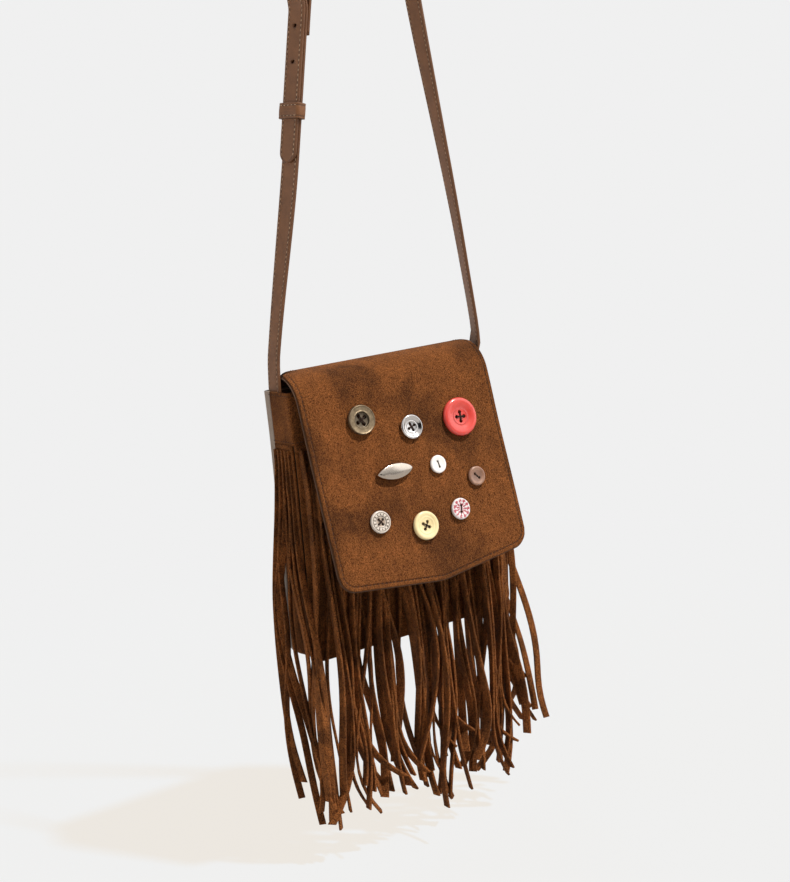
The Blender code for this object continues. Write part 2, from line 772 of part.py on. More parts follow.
def ribbon(name, line, finish, half_widths=None):
    """A flat strap along a line of (along, lift) places beside the route."""
    centres = []
    for along, lift in line:
        point, direction, normal, width = strap_axes(along)
        centres.append((point + normal * lift, width))
    rings = []
    for i, (centre, width) in enumerate(centres):
        before = centres[max(i - 1, 0)][0]
        after = centres[min(i + 1, len(centres) - 1)][0]
        normal = width.cross((after - before).normalized()).normalized() * STRAP_THICKNESS / 2
        reach = width * (half_widths[i] if half_widths else STRAP_WIDTH / 2)
        rings.append([centre - reach - normal, centre + reach - normal,
                      centre + reach + normal, centre - reach + normal])
    form = bmesh.new()
    join_rings(form, rings)
    return add_object(name, mesh_from(form, name, 40), finish)


layer = STRAP_THICKNESS + FIT
bar_clear = WIRE_RADIUS + FIT + STRAP_THICKNESS / 2


fold_steps = [BAR_PLACE - FOLD_SPREAD * share for share in (0.68, 0.36)]


def fold_share(along):
    return smooth_step(along, BAR_PLACE - FOLD_SPREAD, BAR_PLACE - FOLD_END)


def short_lift(along):
    """The short strap moves out to pass round the buckle's bar."""
    return bar_clear * fold_share(along)


def make_short_strap():
    bend_start = route.runs[1][0]
    bend_stop = route.runs[2][0]
    stops = [0.0] + even_steps(bend_start, bend_stop, 2) + even_steps(bend_stop, TWIST_FULL, 6)[1:]
    stops += even_steps(TWIST_FULL, BAR_PLACE - FOLD_SPREAD, 3)[1:] + fold_steps
    line = [(along, short_lift(along)) for along in stops]
    for step in range(9):
        turn = math.pi * step / 8
        line.append((BAR_PLACE + bar_clear * math.sin(turn), bar_clear * math.cos(turn)))
    for along in [*reversed(fold_steps), BAR_PLACE - FOLD_SPREAD, BAR_PLACE - TURN_BACK]:
        line.append((along, -layer + fold_share(along) * (layer - bar_clear)))
    strap = ribbon("strap_short", line, STRAP_LEATHER)
    form = bmesh.new()
    bmesh.ops.create_cube(form, size=1.0)
    slot = add_object("prong_slot", mesh_from(form, "prong_slot"), THREAD)
    slot.matrix_local = strap_matrix(BAR_PLACE)
    slot.scale = (2 * PRONG_SLOT, FOLD_SPREAD, FOLD_SPREAD)
    cut(strap, slot)


make_short_strap()

tail_out = bar_clear + layer
frame_top = BAR_PLACE + FRAME_LENGTH


def long_lift(along):
    """The long strap's tail lies on the short strap, dives through the buckle
    between its bars and passes behind the upper one."""
    outside = layer + short_lift(along)
    dive = smooth_step(along, BAR_PLACE + DIVE_START, BAR_PLACE + DIVE_END)
    ease = smooth_step(along, frame_top + EASE_START, frame_top + EASE_END)
    return outside * (1 - dive) - bar_clear * dive * (1 - ease)


hole_places = [TIP_PLACE + FIRST_HOLE + HOLE_PITCH * i for i in range(HOLE_COUNT)]


def wire(name, points, radius, finish, sides=8, closed=False):
    """A round bar in the buckle's frame: closed in its XY plane, or open in YZ."""
    count = len(points)
    turns = [2 * math.pi * i / sides for i in range(sides)]
    rings = []
    for i, point in enumerate(points):
        before = points[i - 1] if closed or i else points[0]
        after = points[(i + 1) % count] if closed or i < count - 1 else points[-1]
        along = (Vector(after) - Vector(before)).normalized()
        side = Vector((0, 0, 1)) if closed else Vector((1, 0, 0))
        up = along.cross(side).normalized()
        rings.append([Vector(point) + radius * (math.cos(turn) * side + math.sin(turn) * up)
                      for turn in turns])
    form = bmesh.new()
    join_rings(form, rings, closed=closed)
    return add_object(name, mesh_from(form, name, 50), finish, parent=buckle_frame)


def make_long_strap():
    tip = STRAP_WIDTH / 2
    line = []
    widths = []
    for share in (0.03, 0.12, 0.3, 0.6, 1.0):
        along = TIP_PLACE + tip * share
        line.append((along, long_lift(along)))
        widths.append(tip * math.sqrt(1 - (1 - share) ** 2))
    stops = even_steps(TIP_PLACE + 3 * tip, BAR_PLACE - FOLD_SPREAD, 4)
    stops += [*fold_steps, BAR_PLACE - FOLD_END / 2]
    stops += even_steps(BAR_PLACE + DIVE_START, BAR_PLACE + DIVE_END, 8)
    stops += even_steps(frame_top + EASE_START, frame_top + EASE_END, 3)
    crown_start, crown_end, bend_start, bend_stop = (run[0] for run in route.runs[3:7])
    stops += even_steps(frame_top + EASE_END, crown_start, 9)[1:-1]
    stops += even_steps(crown_start, crown_end, 16)
    stops += even_steps(crown_end, bend_start, 6)[1:]
    stops += even_steps(bend_start, bend_stop, 2)[1:] + [route.length]
    line += [(along, long_lift(along)) for along in stops]
    widths += [STRAP_WIDTH / 2] * len(stops)
    strap = ribbon("strap_long", line, STRAP_LEATHER, widths)

    form = bmesh.new()
    for place in hole_places:
        if abs(place - BAR_PLACE) < FRAME_LENGTH:
            continue
        frame = strap_matrix(place, long_lift(place))
        turns = [math.pi * i / 4 for i in range(8)]
        spots = [(HOLE_RADIUS * math.cos(turn), HOLE_RADIUS * math.sin(turn)) for turn in turns]
        join_rings(form, [[frame @ Vector((x, y, z)) for x, y in spots]
                          for z in (-STRAP_THICKNESS, STRAP_THICKNESS)])
    cut(strap, add_object("strap_holes", mesh_from(form, "strap_holes"), THREAD))
    return strap


strap_long = make_long_strap()


# The buckle, modelled in the strap's frame at its bar

buckle_frame = bpy.data.objects.new("buckle_place", None)
bpy.context.collection.objects.link(buckle_frame)
buckle_frame.parent = hanger
buckle_frame.matrix_local = strap_matrix(BAR_PLACE)


def make_buckle():
    half = STRAP_WIDTH / 2 + FRAME_SIDE_ROOM + WIRE_RADIUS
    points = []
    corners = ((half, 0, -90), (half, FRAME_LENGTH, 0), (-half, FRAME_LENGTH, 90), (-half, 0, 180))
    for cx, cy, start in corners:
        sx = math.copysign(1, cx)
        sy = 1 if cy else -1
        for step in range(4):
            turn = math.radians(start + 30 * step)
            points.append((cx + FRAME_CORNER * (math.cos(turn) - sx),
                           cy + FRAME_CORNER * (math.sin(turn) - sy), 0))
    wire("buckle", points, WIRE_RADIUS, AGED_BRASS, closed=True)

    ring = WIRE_RADIUS + FIT + PRONG_RADIUS
    points = []
    for step in range(11):
        turn = PRONG_CURL_START + (math.pi / 2 - PRONG_CURL_START) * step / 10
        points.append((0, ring * math.cos(turn), ring * math.sin(turn)))
    shaft = [(0, y, ring) for y in even_steps(ring, FRAME_LENGTH + PRONG_OVERHANG, 4)]
    wire("buckle_prong", points + shaft, PRONG_RADIUS, AGED_BRASS)
    room = wire("prong_room", [(0, 0, ring), (0, FRAME_LENGTH + 2 * PRONG_OVERHANG, ring)],
                PRONG_RADIUS + FIT, AGED_BRASS)
    cut(strap_long, room)


make_buckle()


def make_keeper():
    """A leather loop that slides along both layers of the strap."""
    lift = layer / 2
    wide = STRAP_WIDTH / 2 + KEEPER_ROOM
    deep = (layer + STRAP_THICKNESS) / 2 + KEEPER_ROOM
    wall = KEEPER_THICKNESS

    def band(grow, y):
        radius = KEEPER_ROUND + grow
        points = []
        for sx, sz, start in ((1, -1, -90), (1, 1, 0), (-1, 1, 90), (-1, -1, 180)):
            for step in range(3):
                turn = math.radians(start + 45 * step)
                points.append((sx * (wide + grow - radius) + radius * math.cos(turn), y,
                               sz * (deep + grow - radius) + radius * math.sin(turn)))
        return points

    low, high = -KEEPER_HEIGHT / 2, KEEPER_HEIGHT / 2
    form = bmesh.new()
    join_rings(form, [band(wall, low), band(wall, high), band(0, high), band(0, low)], closed=True)
    keeper = add_object("strap_keeper", mesh_from(form, "strap_keeper", 40), STRAP_LEATHER)
    keeper.matrix_local = strap_matrix(KEEPER_PLACE, lift)


make_keeper()
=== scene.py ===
"""A small fringed crossbody bag in brown suede, with sewn-on buttons.

The script loads the rigid model as a frame and builds the looks over it: every
sheet of suede and leather, each strip of the fringe, the buttons and the thread
that holds them, in metres and in the frame's own coordinates.
"""
# %% [markdown]
# The frame is the imported model of the bag. Each of its parts has a name and
# rides on a body that can move: the pouch, the crown of the flap, the front of
# the flap, and the loop that slides on the strap. It is loaded first, and its box is kept.

# %% Load the frame
import math
import random

import bmesh
import bpy
from mathutils import Matrix, Vector
from mathutils.kdtree import KDTree


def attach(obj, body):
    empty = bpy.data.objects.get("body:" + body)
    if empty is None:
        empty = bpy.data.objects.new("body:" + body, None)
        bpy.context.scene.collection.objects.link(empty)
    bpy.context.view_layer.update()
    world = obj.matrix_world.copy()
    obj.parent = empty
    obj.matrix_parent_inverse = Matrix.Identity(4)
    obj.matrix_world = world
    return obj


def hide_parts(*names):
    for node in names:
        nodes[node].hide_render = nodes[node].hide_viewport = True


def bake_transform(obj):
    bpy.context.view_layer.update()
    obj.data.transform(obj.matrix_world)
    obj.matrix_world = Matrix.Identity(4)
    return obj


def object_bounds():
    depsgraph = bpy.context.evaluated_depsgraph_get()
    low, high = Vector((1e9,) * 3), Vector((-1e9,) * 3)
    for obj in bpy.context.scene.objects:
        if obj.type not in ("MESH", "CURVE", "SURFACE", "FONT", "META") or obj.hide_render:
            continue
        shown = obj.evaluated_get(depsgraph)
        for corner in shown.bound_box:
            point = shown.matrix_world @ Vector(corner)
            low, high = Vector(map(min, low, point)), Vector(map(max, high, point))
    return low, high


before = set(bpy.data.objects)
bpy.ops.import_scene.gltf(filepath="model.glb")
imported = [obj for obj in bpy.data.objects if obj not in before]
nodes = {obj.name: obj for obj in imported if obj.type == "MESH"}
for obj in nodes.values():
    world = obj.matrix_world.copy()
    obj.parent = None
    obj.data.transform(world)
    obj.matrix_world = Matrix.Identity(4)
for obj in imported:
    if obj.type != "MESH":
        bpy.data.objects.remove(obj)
cad_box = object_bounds()

# %% [markdown]
# The bag is easiest to measure from its own mouth: X to the right, Y to the
# back, Z up, with zero along the top edge of the pouch. The frame's zero is
# where the strap would hang from a hook, so one offset leads from one to the
# other.

# %% The bag's own zero, and its main sizes
BAG_ZERO = Vector((-0.0356, 0.0, -0.5077))
FIT = 0.0003

POUCH_WIDTH = 0.174
POUCH_HEIGHT = 0.196
POUCH_BACK = 0.017
DEPTH_TOP = 0.034
DEPTH_FOOT = 0.038
FRONT_BULGE = 0.007
FOOT_RADIUS = 0.010
SUEDE = 0.0014
PANEL = 0.0016
LINING = 0.0008
BACK_RIM = 0.0092
YOKE_HEIGHT = 0.037
half_width = POUCH_WIDTH / 2
gusset_half = half_width - SUEDE - FIT
gusset_back = POUCH_BACK - BACK_RIM - FIT
print("pouch", POUCH_WIDTH, "x", POUCH_HEIGHT, "x", DEPTH_FOOT)

# %% [markdown]
# Small helpers come first. These give even steps, soft steps and arcs, and the
# loop round a rectangle with rounded corners, which the lining, the buckle and
# the keeper all need.

# %% Helpers for numbers
def even_steps(start, end, count):
    return [start + (end - start) * i / count for i in range(count + 1)]


def smooth_step(value, start, end):
    share = min(max((value - start) / (end - start), 0.0), 1.0)
    return share * share * (3 - 2 * share)


def fade(value, start, end):
    """One up to the start and nothing from the end on."""
    return 1 - smooth_step(value, start, end)


def arc(count, turn=math.pi / 2):
    """Cosine and sine at even steps of a turn, a quarter unless it is given."""
    return [(math.cos(turn * step / count), math.sin(turn * step / count)) for step in range(count + 1)]


def rounded_loop(wide, low, high, radius, steps):
    """Points round a rectangle with rounded corners, from its lower right one."""
    points = []
    for corner, (x, y) in enumerate(((wide, low), (wide, high), (-wide, high), (-wide, low))):
        for step in range(steps + 1):
            turn = math.radians(90 * (corner - 1) + 90 * step / steps)
            points.append((x + radius * (math.cos(turn) - math.copysign(1, x)),
                           y + radius * (math.sin(turn) - (1 if y == high else -1))))
    return points


# %% [markdown]
# A piece is made as a mesh in the bag's own coordinates, gets a material, is
# moved to the frame's coordinates, and then rides on its body in place of the
# plain solid that it stands for. The full pouch has sagged a little, so what
# belongs to it is shifted on the way.

# %% Helpers for pieces
MOUTH_SLUMP = 0.003
FOOT_SLUMP = 0.0055
SLUMP_BELOW = 0.05
SLUMP_ABOVE = 0.010


def link(name, data):
    made = bpy.data.objects.new(name, data)
    bpy.context.scene.collection.objects.link(made)
    return made


def paint(piece, material):
    piece.data.materials.clear()
    piece.data.materials.append(material)


def link_mesh(name, mesh, material):
    mesh.name = name
    piece = link(name, mesh)
    paint(piece, material)
    return piece


def store(mesh, name, values):
    """Keep a number or a vector on each corner of a mesh."""
    if isinstance(values[0], float):
        mesh.attributes.new(name, "FLOAT", "POINT").data.foreach_set("value", values)
    else:
        flat = [number for vector in values for number in vector]
        mesh.attributes.new(name, "FLOAT_VECTOR", "POINT").data.foreach_set("vector", flat)


def finish_modifiers(piece):
    """Turn a piece with live modifiers into a plain mesh."""
    bpy.context.view_layer.update()
    graph = bpy.context.evaluated_depsgraph_get()
    mesh = bpy.data.meshes.new_from_object(piece.evaluated_get(graph), depsgraph=graph)
    piece.modifiers.clear()
    old = piece.data
    piece.data = mesh
    bpy.data.meshes.remove(old)


def slump(place):
    """How far the soft pouch sags to the left: its right mouth corner, and its left foot."""
    reach = SLUMP_BELOW if place.z < 0 else SLUMP_ABOVE
    mouth = smooth_step(place.x, 0.02, half_width) * fade(abs(place.z), 0.0, reach)
    foot = smooth_step(-place.x, -0.03, half_width) * smooth_step(-place.z, 0.02, POUCH_HEIGHT)
    return MOUTH_SLUMP * mouth + FOOT_SLUMP * foot


def settle(piece, body, slot, *stands_for):
    """Move the finished mesh to the frame's zero and tie it to its body."""
    if piece.modifiers:
        finish_modifiers(piece)
    piece.data.transform(piece.matrix_world)
    if body == "pouch":
        for corner in piece.data.vertices:
            corner.co.x -= slump(corner.co)
    piece.data.transform(Matrix.Translation(BAG_ZERO))
    piece.matrix_world = Matrix.Identity(4)
    piece.data.shade_smooth()
    if body:
        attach(piece, body)
    if stands_for:
        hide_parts(*stands_for)
    print(piece.name, len(piece.data.polygons), "faces")
    return piece


# %% [markdown]
# Every mesh is a grid of faces between rows of points. A sheet is an open grid
# that gets its thickness from a modifier, and a skin is a closed one.

# %% Helpers for meshes
def grid_faces(form, rows, wrap=False):
    """Faces between rows of points; returns the rows of corners."""
    corners = [[form.verts.new(point) for point in row] for row in rows]
    for upper, lower in zip(corners, corners[1:]):
        count = len(upper)
        for i in range(count if wrap else count - 1):
            j = (i + 1) % count
            form.faces.new((upper[i], lower[i], lower[j], upper[j]))
    return corners


def mesh_of(form, name):
    mesh = bpy.data.meshes.new(name)
    form.to_mesh(mesh)
    form.free()
    return mesh


def skin(name, rings, caps=(0, -1), merge=False):
    """A mesh through rings of points, with faces over the ends that are asked for."""
    form = bmesh.new()
    corners = grid_faces(form, rings, wrap=True)
    for end in caps:
        form.faces.new(reversed(corners[end]) if end else corners[end])
    if merge:
        bmesh.ops.remove_doubles(form, verts=form.verts, dist=1e-7)
    bmesh.ops.recalc_face_normals(form, faces=form.faces)
    return mesh_of(form, name)


def thicken(piece, thickness, round_edge, segments=2):
    """Give a sheet its thickness on its inner side, and round its cut edges."""
    solid = piece.modifiers.new("thickness", "SOLIDIFY")
    solid.thickness = thickness
    solid.offset = -1
    solid.use_even_offset = True
    round_edges(piece, round_edge, segments, 50)


def round_edges(piece, width, segments, sharper_than):
    edge = piece.modifiers.new("round_edges", "BEVEL")
    edge.width = width
    edge.segments = segments
    edge.limit_method = "ANGLE"
    edge.angle_limit = math.radians(sharper_than)


def sheet_piece(name, rows, material, thickness, round_edge, segments=2):
    form = bmesh.new()
    grid_faces(form, rows)
    piece = link_mesh(name, mesh_of(form, name), material)
    thicken(piece, thickness, round_edge, segments)
    return piece


def add_rod(form, radius, depth, matrix):
    bmesh.ops.create_cone(form, cap_ends=True, segments=20, radius1=radius, radius2=radius,
                          depth=depth, matrix=matrix)


def cut_with(piece, form):
    """Cut a bmesh shape out of a piece and keep the result as a plain mesh."""
    cutter = link("cutter", mesh_of(form, "cutter"))
    cut = piece.modifiers.new("cut", "BOOLEAN")
    cut.object = cutter
    cut.solver = "EXACT"
    finish_modifiers(piece)
    bpy.data.objects.remove(cutter)


# %% [markdown]
# Materials, the world and the geometry trees are all made of nodes. This
# shorthand adds a node with its inputs given by name: a socket is joined, and a
# plain value is set on the node's own socket.

# %% Helpers for nodes
class Wires:
    """Shorthand for adding and joining nodes in one tree."""

    def __init__(self, tree):
        self.tree = tree

    def set(self, node, inputs):
        for label, value in inputs.items():
            socket = node.inputs[label]
            if isinstance(value, bpy.types.NodeSocket):
                self.tree.links.new(value, socket)
            elif socket.type == "RGBA":
                socket.default_value = (*value, 1)
            else:
                socket.default_value = value

    def add(self, kind, inputs=None, **settings):
        node = self.tree.nodes.new(kind)
        for key, value in settings.items():
            setattr(node, key, value)
        self.set(node, inputs or {})
        return node

    def math(self, operation, *values):
        return self.add("ShaderNodeMath", dict(enumerate(values)), operation=operation).outputs[0]

    def noise(self, vector, scale, detail=4.0, rough=0.55, distortion=0.0):
        return self.add("ShaderNodeTexNoise", {
            "Vector": vector, "Scale": scale, "Detail": detail, "Roughness": rough,
            "Distortion": distortion}).outputs["Fac"]

    def spread(self, value, low, high, to_low=0.0, to_high=1.0, curve="LINEAR"):
        return self.add("ShaderNodeMapRange", {
            "Value": value, "From Min": low, "From Max": high, "To Min": to_low,
            "To Max": to_high}, interpolation_type=curve).outputs["Result"]

    def blend(self, share, first, second, mode="MIX"):
        return self.add("ShaderNodeMix", {"Factor": share, 6: first, 7: second},
                        data_type="RGBA", blend_type=mode).outputs[2]

    def mix_shader(self, share, first, second):
        return self.add("ShaderNodeMixShader", {"Fac": share, 1: first, 2: second}).outputs[0]


def new_tree(name, kind, inputs, outputs):
    """A tree with named inputs and outputs, and the identifier of each input."""
    tree = bpy.data.node_groups.new(name, kind)
    identifiers = {}
    for label, socket_kind in inputs.items():
        socket = tree.interface.new_socket(label, in_out="INPUT", socket_type="NodeSocket" + socket_kind)
        identifiers[label] = socket.identifier
    for label, socket_kind in outputs.items():
        tree.interface.new_socket(label, in_out="OUTPUT", socket_type="NodeSocket" + socket_kind)
    w = Wires(tree)
    return w, w.add("NodeGroupInput").outputs, w.add("NodeGroupOutput"), identifiers


def object_place(w):
    return w.add("ShaderNodeTexCoord").outputs["Object"]


# %% [markdown]
# A camera is a place, a direction and a lens. The photograph looks at the bag
# from its left and a little from above, and the camera is rolled by six
# degrees, which is why the hanging bag seems to lean.

# %% Camera
CAMERA_PLACE = Vector((-0.6314, -0.9492, -0.3585))
CAMERA_RIGHT = Vector((0.8278, -0.5506, -0.1074))
CAMERA_BACK = Vector((-0.5290, -0.8299, 0.1772))
FOCAL_PIXELS = 1536.5
PHOTO_HEIGHT = 882


def place_camera():
    lens = bpy.data.cameras.new("photo_camera")
    lens.sensor_width = 36.0
    lens.lens = FOCAL_PIXELS / PHOTO_HEIGHT * lens.sensor_width
    lens.clip_start = 0.01
    lens.clip_end = 50
    camera = link("photo_camera", lens)
    back = CAMERA_BACK.normalized()
    right = (CAMERA_RIGHT - back * CAMERA_RIGHT.dot(back)).normalized()
    turn = Matrix((right, back.cross(right), back)).transposed()
    camera.matrix_world = Matrix.Translation(CAMERA_PLACE) @ turn.to_4x4()
    bpy.context.scene.camera = camera
    print("lens", round(lens.lens, 2), "mm")


place_camera()

# %% [markdown]
# The studio: a far key lamp to the right and above gives the clear shadows that
# fall to the lower left, and falls evenly on the bag and the floor. Two weaker
# lamps lift the shadows, and a pale world fills in the rest. A colour then
# renders about as it is written.

# %% Lamps and world
SCENE_MIDDLE = Vector((-0.03, 0.0, -0.55))
KEY_WAY = Vector((1.18, -1.55, 2.85)).normalized()
KEY_STRENGTH = 3.85
KEY_WIDTH = math.radians(3.0)
BACKDROP = (0.871, 0.871, 0.871)
AIR_LIGHT = 0.24


def add_lamp(name, kind, place, power, colour, **settings):
    light = bpy.data.lights.new(name, kind)
    light.energy = power
    light.color = colour
    for key, value in settings.items():
        setattr(light, key, value)
    lamp = link(name, light)
    lamp.location = place
    lamp.rotation_euler = (SCENE_MIDDLE - lamp.location).to_track_quat("-Z", "Y").to_euler()


add_lamp("key_lamp", "SUN", SCENE_MIDDLE + 2 * KEY_WAY, KEY_STRENGTH, (1.0, 0.97, 0.93), angle=KEY_WIDTH)
add_lamp("fill_lamp", "AREA", (-2.4, 0.35, -0.1), 10, (0.97, 0.98, 1.0), shape="DISK", size=1.2)
add_lamp("rim_lamp", "AREA", (0.8, 1.7, 0.6), 8, (1.0, 1.0, 1.0), shape="DISK", size=1.0)


def set_world():
    """White air that the camera sees as the backdrop, and softboxes for glossy surfaces."""
    bpy.context.scene.view_settings.view_transform = "Standard"
    world = bpy.data.worlds.new("studio_air")
    bpy.context.scene.world = world
    world.use_nodes = True
    world.node_tree.nodes.clear()
    w = Wires(world.node_tree)
    way = w.add("ShaderNodeTexCoord").outputs["Generated"]
    path = w.add("ShaderNodeLightPath").outputs

    def toward(x, y, z):
        aim = Vector((x, y, z)).normalized()
        return w.add("ShaderNodeVectorMath", {0: way, 1: aim}, operation="DOT_PRODUCT").outputs["Value"]

    height = w.spread(w.add("ShaderNodeSeparateXYZ", {0: way}).outputs["Z"], -0.25, 0.60, 0.25, 0.90)
    window = w.spread(toward(0.85, -0.45, 0.35), 0.86, 0.90, 0.0, 1.4)
    dark_room = w.spread(toward(-0.42, -0.90, 0.12), 0.82, 0.89, 1.0, 0.02)
    mirrored = w.math("MULTIPLY", w.math("ADD", height, window), dark_room)
    glossy = path["Is Glossy Ray"]
    plain = w.math("MULTIPLY", w.math("SUBTRACT", 1.0, glossy), AIR_LIGHT)
    strength = w.math("ADD", w.math("MULTIPLY", glossy, mirrored), plain)
    lit = w.add("ShaderNodeBackground", {"Color": (1, 1, 1), "Strength": strength})
    seen = w.add("ShaderNodeBackground", {"Color": BACKDROP})
    air = w.mix_shader(path["Is Camera Ray"], lit.outputs[0], seen.outputs[0])
    w.add("ShaderNodeOutputWorld", {"Surface": air})
    print("world set")


set_world()

# %% [markdown]
# The floor lies just under the longest strips, and keeps a faint warm shadow.
# Its colour is the backdrop's, so it melts into the air behind it: what the
# camera sees is a mix of a plain glow and the lit floor.

# %% Floor
FLOOR_DROP = 0.026
FLOOR_REACH = 12.0
FLOOR_PAPER = (0.62, 0.61, 0.60)
SHADOW_LOSS = (0.026, 0.068, 0.125)
FLOOR_GLOW = (0.836, 0.780, 0.703)


def add_floor():
    bottom = cad_box[0].z - FLOOR_DROP
    far = FLOOR_REACH
    mesh = bpy.data.meshes.new("floor")
    mesh.from_pydata([(-far, -far, bottom), (far, -far, bottom), (far, far, bottom), (-far, far, bottom)],
                     [], [(0, 1, 2, 3)])
    material = bpy.data.materials.new("floor_paper")
    material.use_nodes = True
    material.node_tree.nodes.clear()
    w = Wires(material.node_tree)
    seen = w.add("ShaderNodeLightPath").outputs["Is Camera Ray"]
    paper = w.add("ShaderNodeBsdfDiffuse", {"Color": w.blend(seen, FLOOR_PAPER, SHADOW_LOSS)}).outputs[0]
    glow = w.add("ShaderNodeEmission", {"Color": FLOOR_GLOW}).outputs[0]
    backdrop = w.add("ShaderNodeEmission", {"Color": BACKDROP}).outputs[0]
    foot = (SCENE_MIDDLE.x, SCENE_MIDDLE.y + 0.1, bottom)
    away = w.add("ShaderNodeVectorMath", {0: object_place(w), 1: foot}, operation="DISTANCE")
    away_share = w.spread(away.outputs["Value"], 0.35, 0.85, 0.0, 1.0, "SMOOTHSTEP")
    near = w.add("ShaderNodeAddShader", {0: paper, 1: glow}).outputs[0]
    shown = w.mix_shader(seen, paper, w.mix_shader(away_share, near, backdrop))
    w.add("ShaderNodeOutputMaterial", {"Surface": shown})
    link_mesh("floor", mesh, material)
    print("floor at", round(bottom, 3))


add_floor()

# %% [markdown]
# Suede is the flesh side of a hide, brushed to a nap. It has no gloss, its
# colour changes where the nap lies another way, and its outline is soft. Four
# sizes of noise make the patches, the streaks, the mottle and the fibres. The
# patterns are shared, so each is built once as a shader node group.

# %% Node groups that materials share
PATTERN_INPUTS = {"Vector": "Vector", "Scale": "Float", "Dark": "Color", "Light": "Color"}
PATTERN_OUTPUTS = {"Color": "Color", "Height": "Float"}
MOTTLE_SCALE = 420.0
FIBRE_SCALE = 1700.0
CLOUD_SCALE = 90.0


def build_nap_group():
    w, start, end, _ = new_tree("suede_nap", "ShaderNodeTree", PATTERN_INPUTS, PATTERN_OUTPUTS)
    scale = start["Scale"]
    brushed = w.add("ShaderNodeMapping", {
        "Vector": start["Vector"], "Scale": (1.0, 1.0, 0.6), "Rotation": (0.0, 0.35, 0.0)}).outputs[0]
    patches = w.spread(w.noise(brushed, scale, 1.0, 0.4, 0.8), 0.39, 0.57)
    streaks = w.spread(w.noise(brushed, w.math("MULTIPLY", scale, 3.0), 2.0, 0.5, 0.8), 0.32, 0.68)
    mottle = w.spread(w.noise(brushed, MOTTLE_SCALE, 4.0, 0.7), 0.36, 0.64)
    fibres = w.spread(w.noise(brushed, FIBRE_SCALE, 2.0, 0.6), 0.38, 0.63)
    tone = w.math("MULTIPLY_ADD", patches, 0.50, 0.48)
    tone = w.math("MULTIPLY_ADD", streaks, 0.22, tone)
    total = w.math("MULTIPLY_ADD", mottle, 0.24, w.math("MULTIPLY", fibres, 0.76))
    colour = w.blend(total, start["Dark"], start["Light"])
    w.set(end, {"Color": w.blend(1.0, colour, tone, "MULTIPLY"),
                "Height": w.math("MULTIPLY_ADD", mottle, 0.4, fibres)})
    return w.tree


def build_grain_group():
    """Pebbled leather grain: small cells with creases between them."""
    w, start, end, _ = new_tree("leather_grain", "ShaderNodeTree", PATTERN_INPUTS, PATTERN_OUTPUTS)
    cells = w.add("ShaderNodeTexVoronoi", {"Vector": start["Vector"], "Scale": start["Scale"]},
                  feature="DISTANCE_TO_EDGE")
    crease = w.spread(cells.outputs["Distance"], 0.0, 0.25)
    clouds = w.spread(w.noise(start["Vector"], CLOUD_SCALE, 4.0, 0.6), 0.3, 0.7)
    total = w.math("MULTIPLY_ADD", crease, 0.35, w.math("MULTIPLY", clouds, 0.65))
    w.set(end, {"Color": w.blend(total, start["Dark"], start["Light"]), "Height": crease})
    return w.tree


suede_nap = build_nap_group()
leather_grain = build_grain_group()
print("node groups:", [group.name for group in bpy.data.node_groups])

# %% [markdown]
# Each finish is a material around one Principled BSDF. The suede, the strap
# leather and the smooth leather of the back take their pattern from the groups.
# A mesh keeps the distance from its cut edge on its corners, for a groove where the seam pulls the sheet in,
# which is also darkened as painted shade, and for a rim that is darker towards the cut edge.

# %% Suede and leather
SEAM_INSET = 0.0030
STRAP_SEAM = 0.0018
SUEDE_DARK = (0.045, 0.0138, 0.0030)
SUEDE_LIGHT = (0.310, 0.105, 0.0270)


def start_material(name):
    material = bpy.data.materials.new(name)
    material.use_nodes = True
    w = Wires(material.node_tree)
    return material, w, w.tree.nodes["Principled BSDF"]


def kept_on_mesh(w, name, output="Fac"):
    return w.add("ShaderNodeAttribute", attribute_name=name).outputs[output]


def use_group(w, group, scale, dark, light):
    made = w.add("ShaderNodeGroup", {"Vector": object_place(w), "Scale": scale, "Dark": dark,
                                     "Light": light}, node_tree=group)
    return made.outputs["Color"], made.outputs["Height"]


def edge_and_groove(w, seam, width):
    reach = kept_on_mesh(w, "edge")
    return reach, w.spread(w.math("ABSOLUTE", w.math("SUBTRACT", reach, seam)), 0.0, width)


def darken(w, colour, mask, most, tint):
    """Lay a tint over a colour where the mask is low."""
    return w.blend(w.spread(mask, 0.0, 1.0, most, 0.0), colour, tint)


def dress(w, shader, height, strength, distance, inputs):
    """Set the shader's inputs, and let a height bump its surface."""
    bump = w.add("ShaderNodeBump", {"Strength": strength, "Distance": distance, "Height": height})
    w.set(shader, {"Normal": bump.outputs["Normal"], **inputs})


def suede_material(name, dark, light, edged=False, patch_scale=27.0):
    material, w, shader = start_material(name)
    colour, height = use_group(w, suede_nap, patch_scale, dark, light)
    if edged:
        reach, groove = edge_and_groove(w, SEAM_INSET, 0.0010)
        # The seam's groove is darkened in colour as painted shade; the next line makes the suede darker
        # towards its cut edge.
        colour = darken(w, colour, groove, 0.28, (0.025, 0.009, 0.004))
        colour = darken(w, colour, w.spread(reach, 0.0, 0.0011), 0.35, (0.05, 0.022, 0.01))
        height = w.math("MULTIPLY_ADD", groove, 3.0, height)
    dress(w, shader, height, 0.7, 0.0005, {
        "Base Color": colour, "Roughness": 0.95, "Specular IOR Level": 0.15, "Sheen Weight": 0.08,
        "Sheen Roughness": 0.45, "Sheen Tint": (0.62, 0.34, 0.17)})
    return material


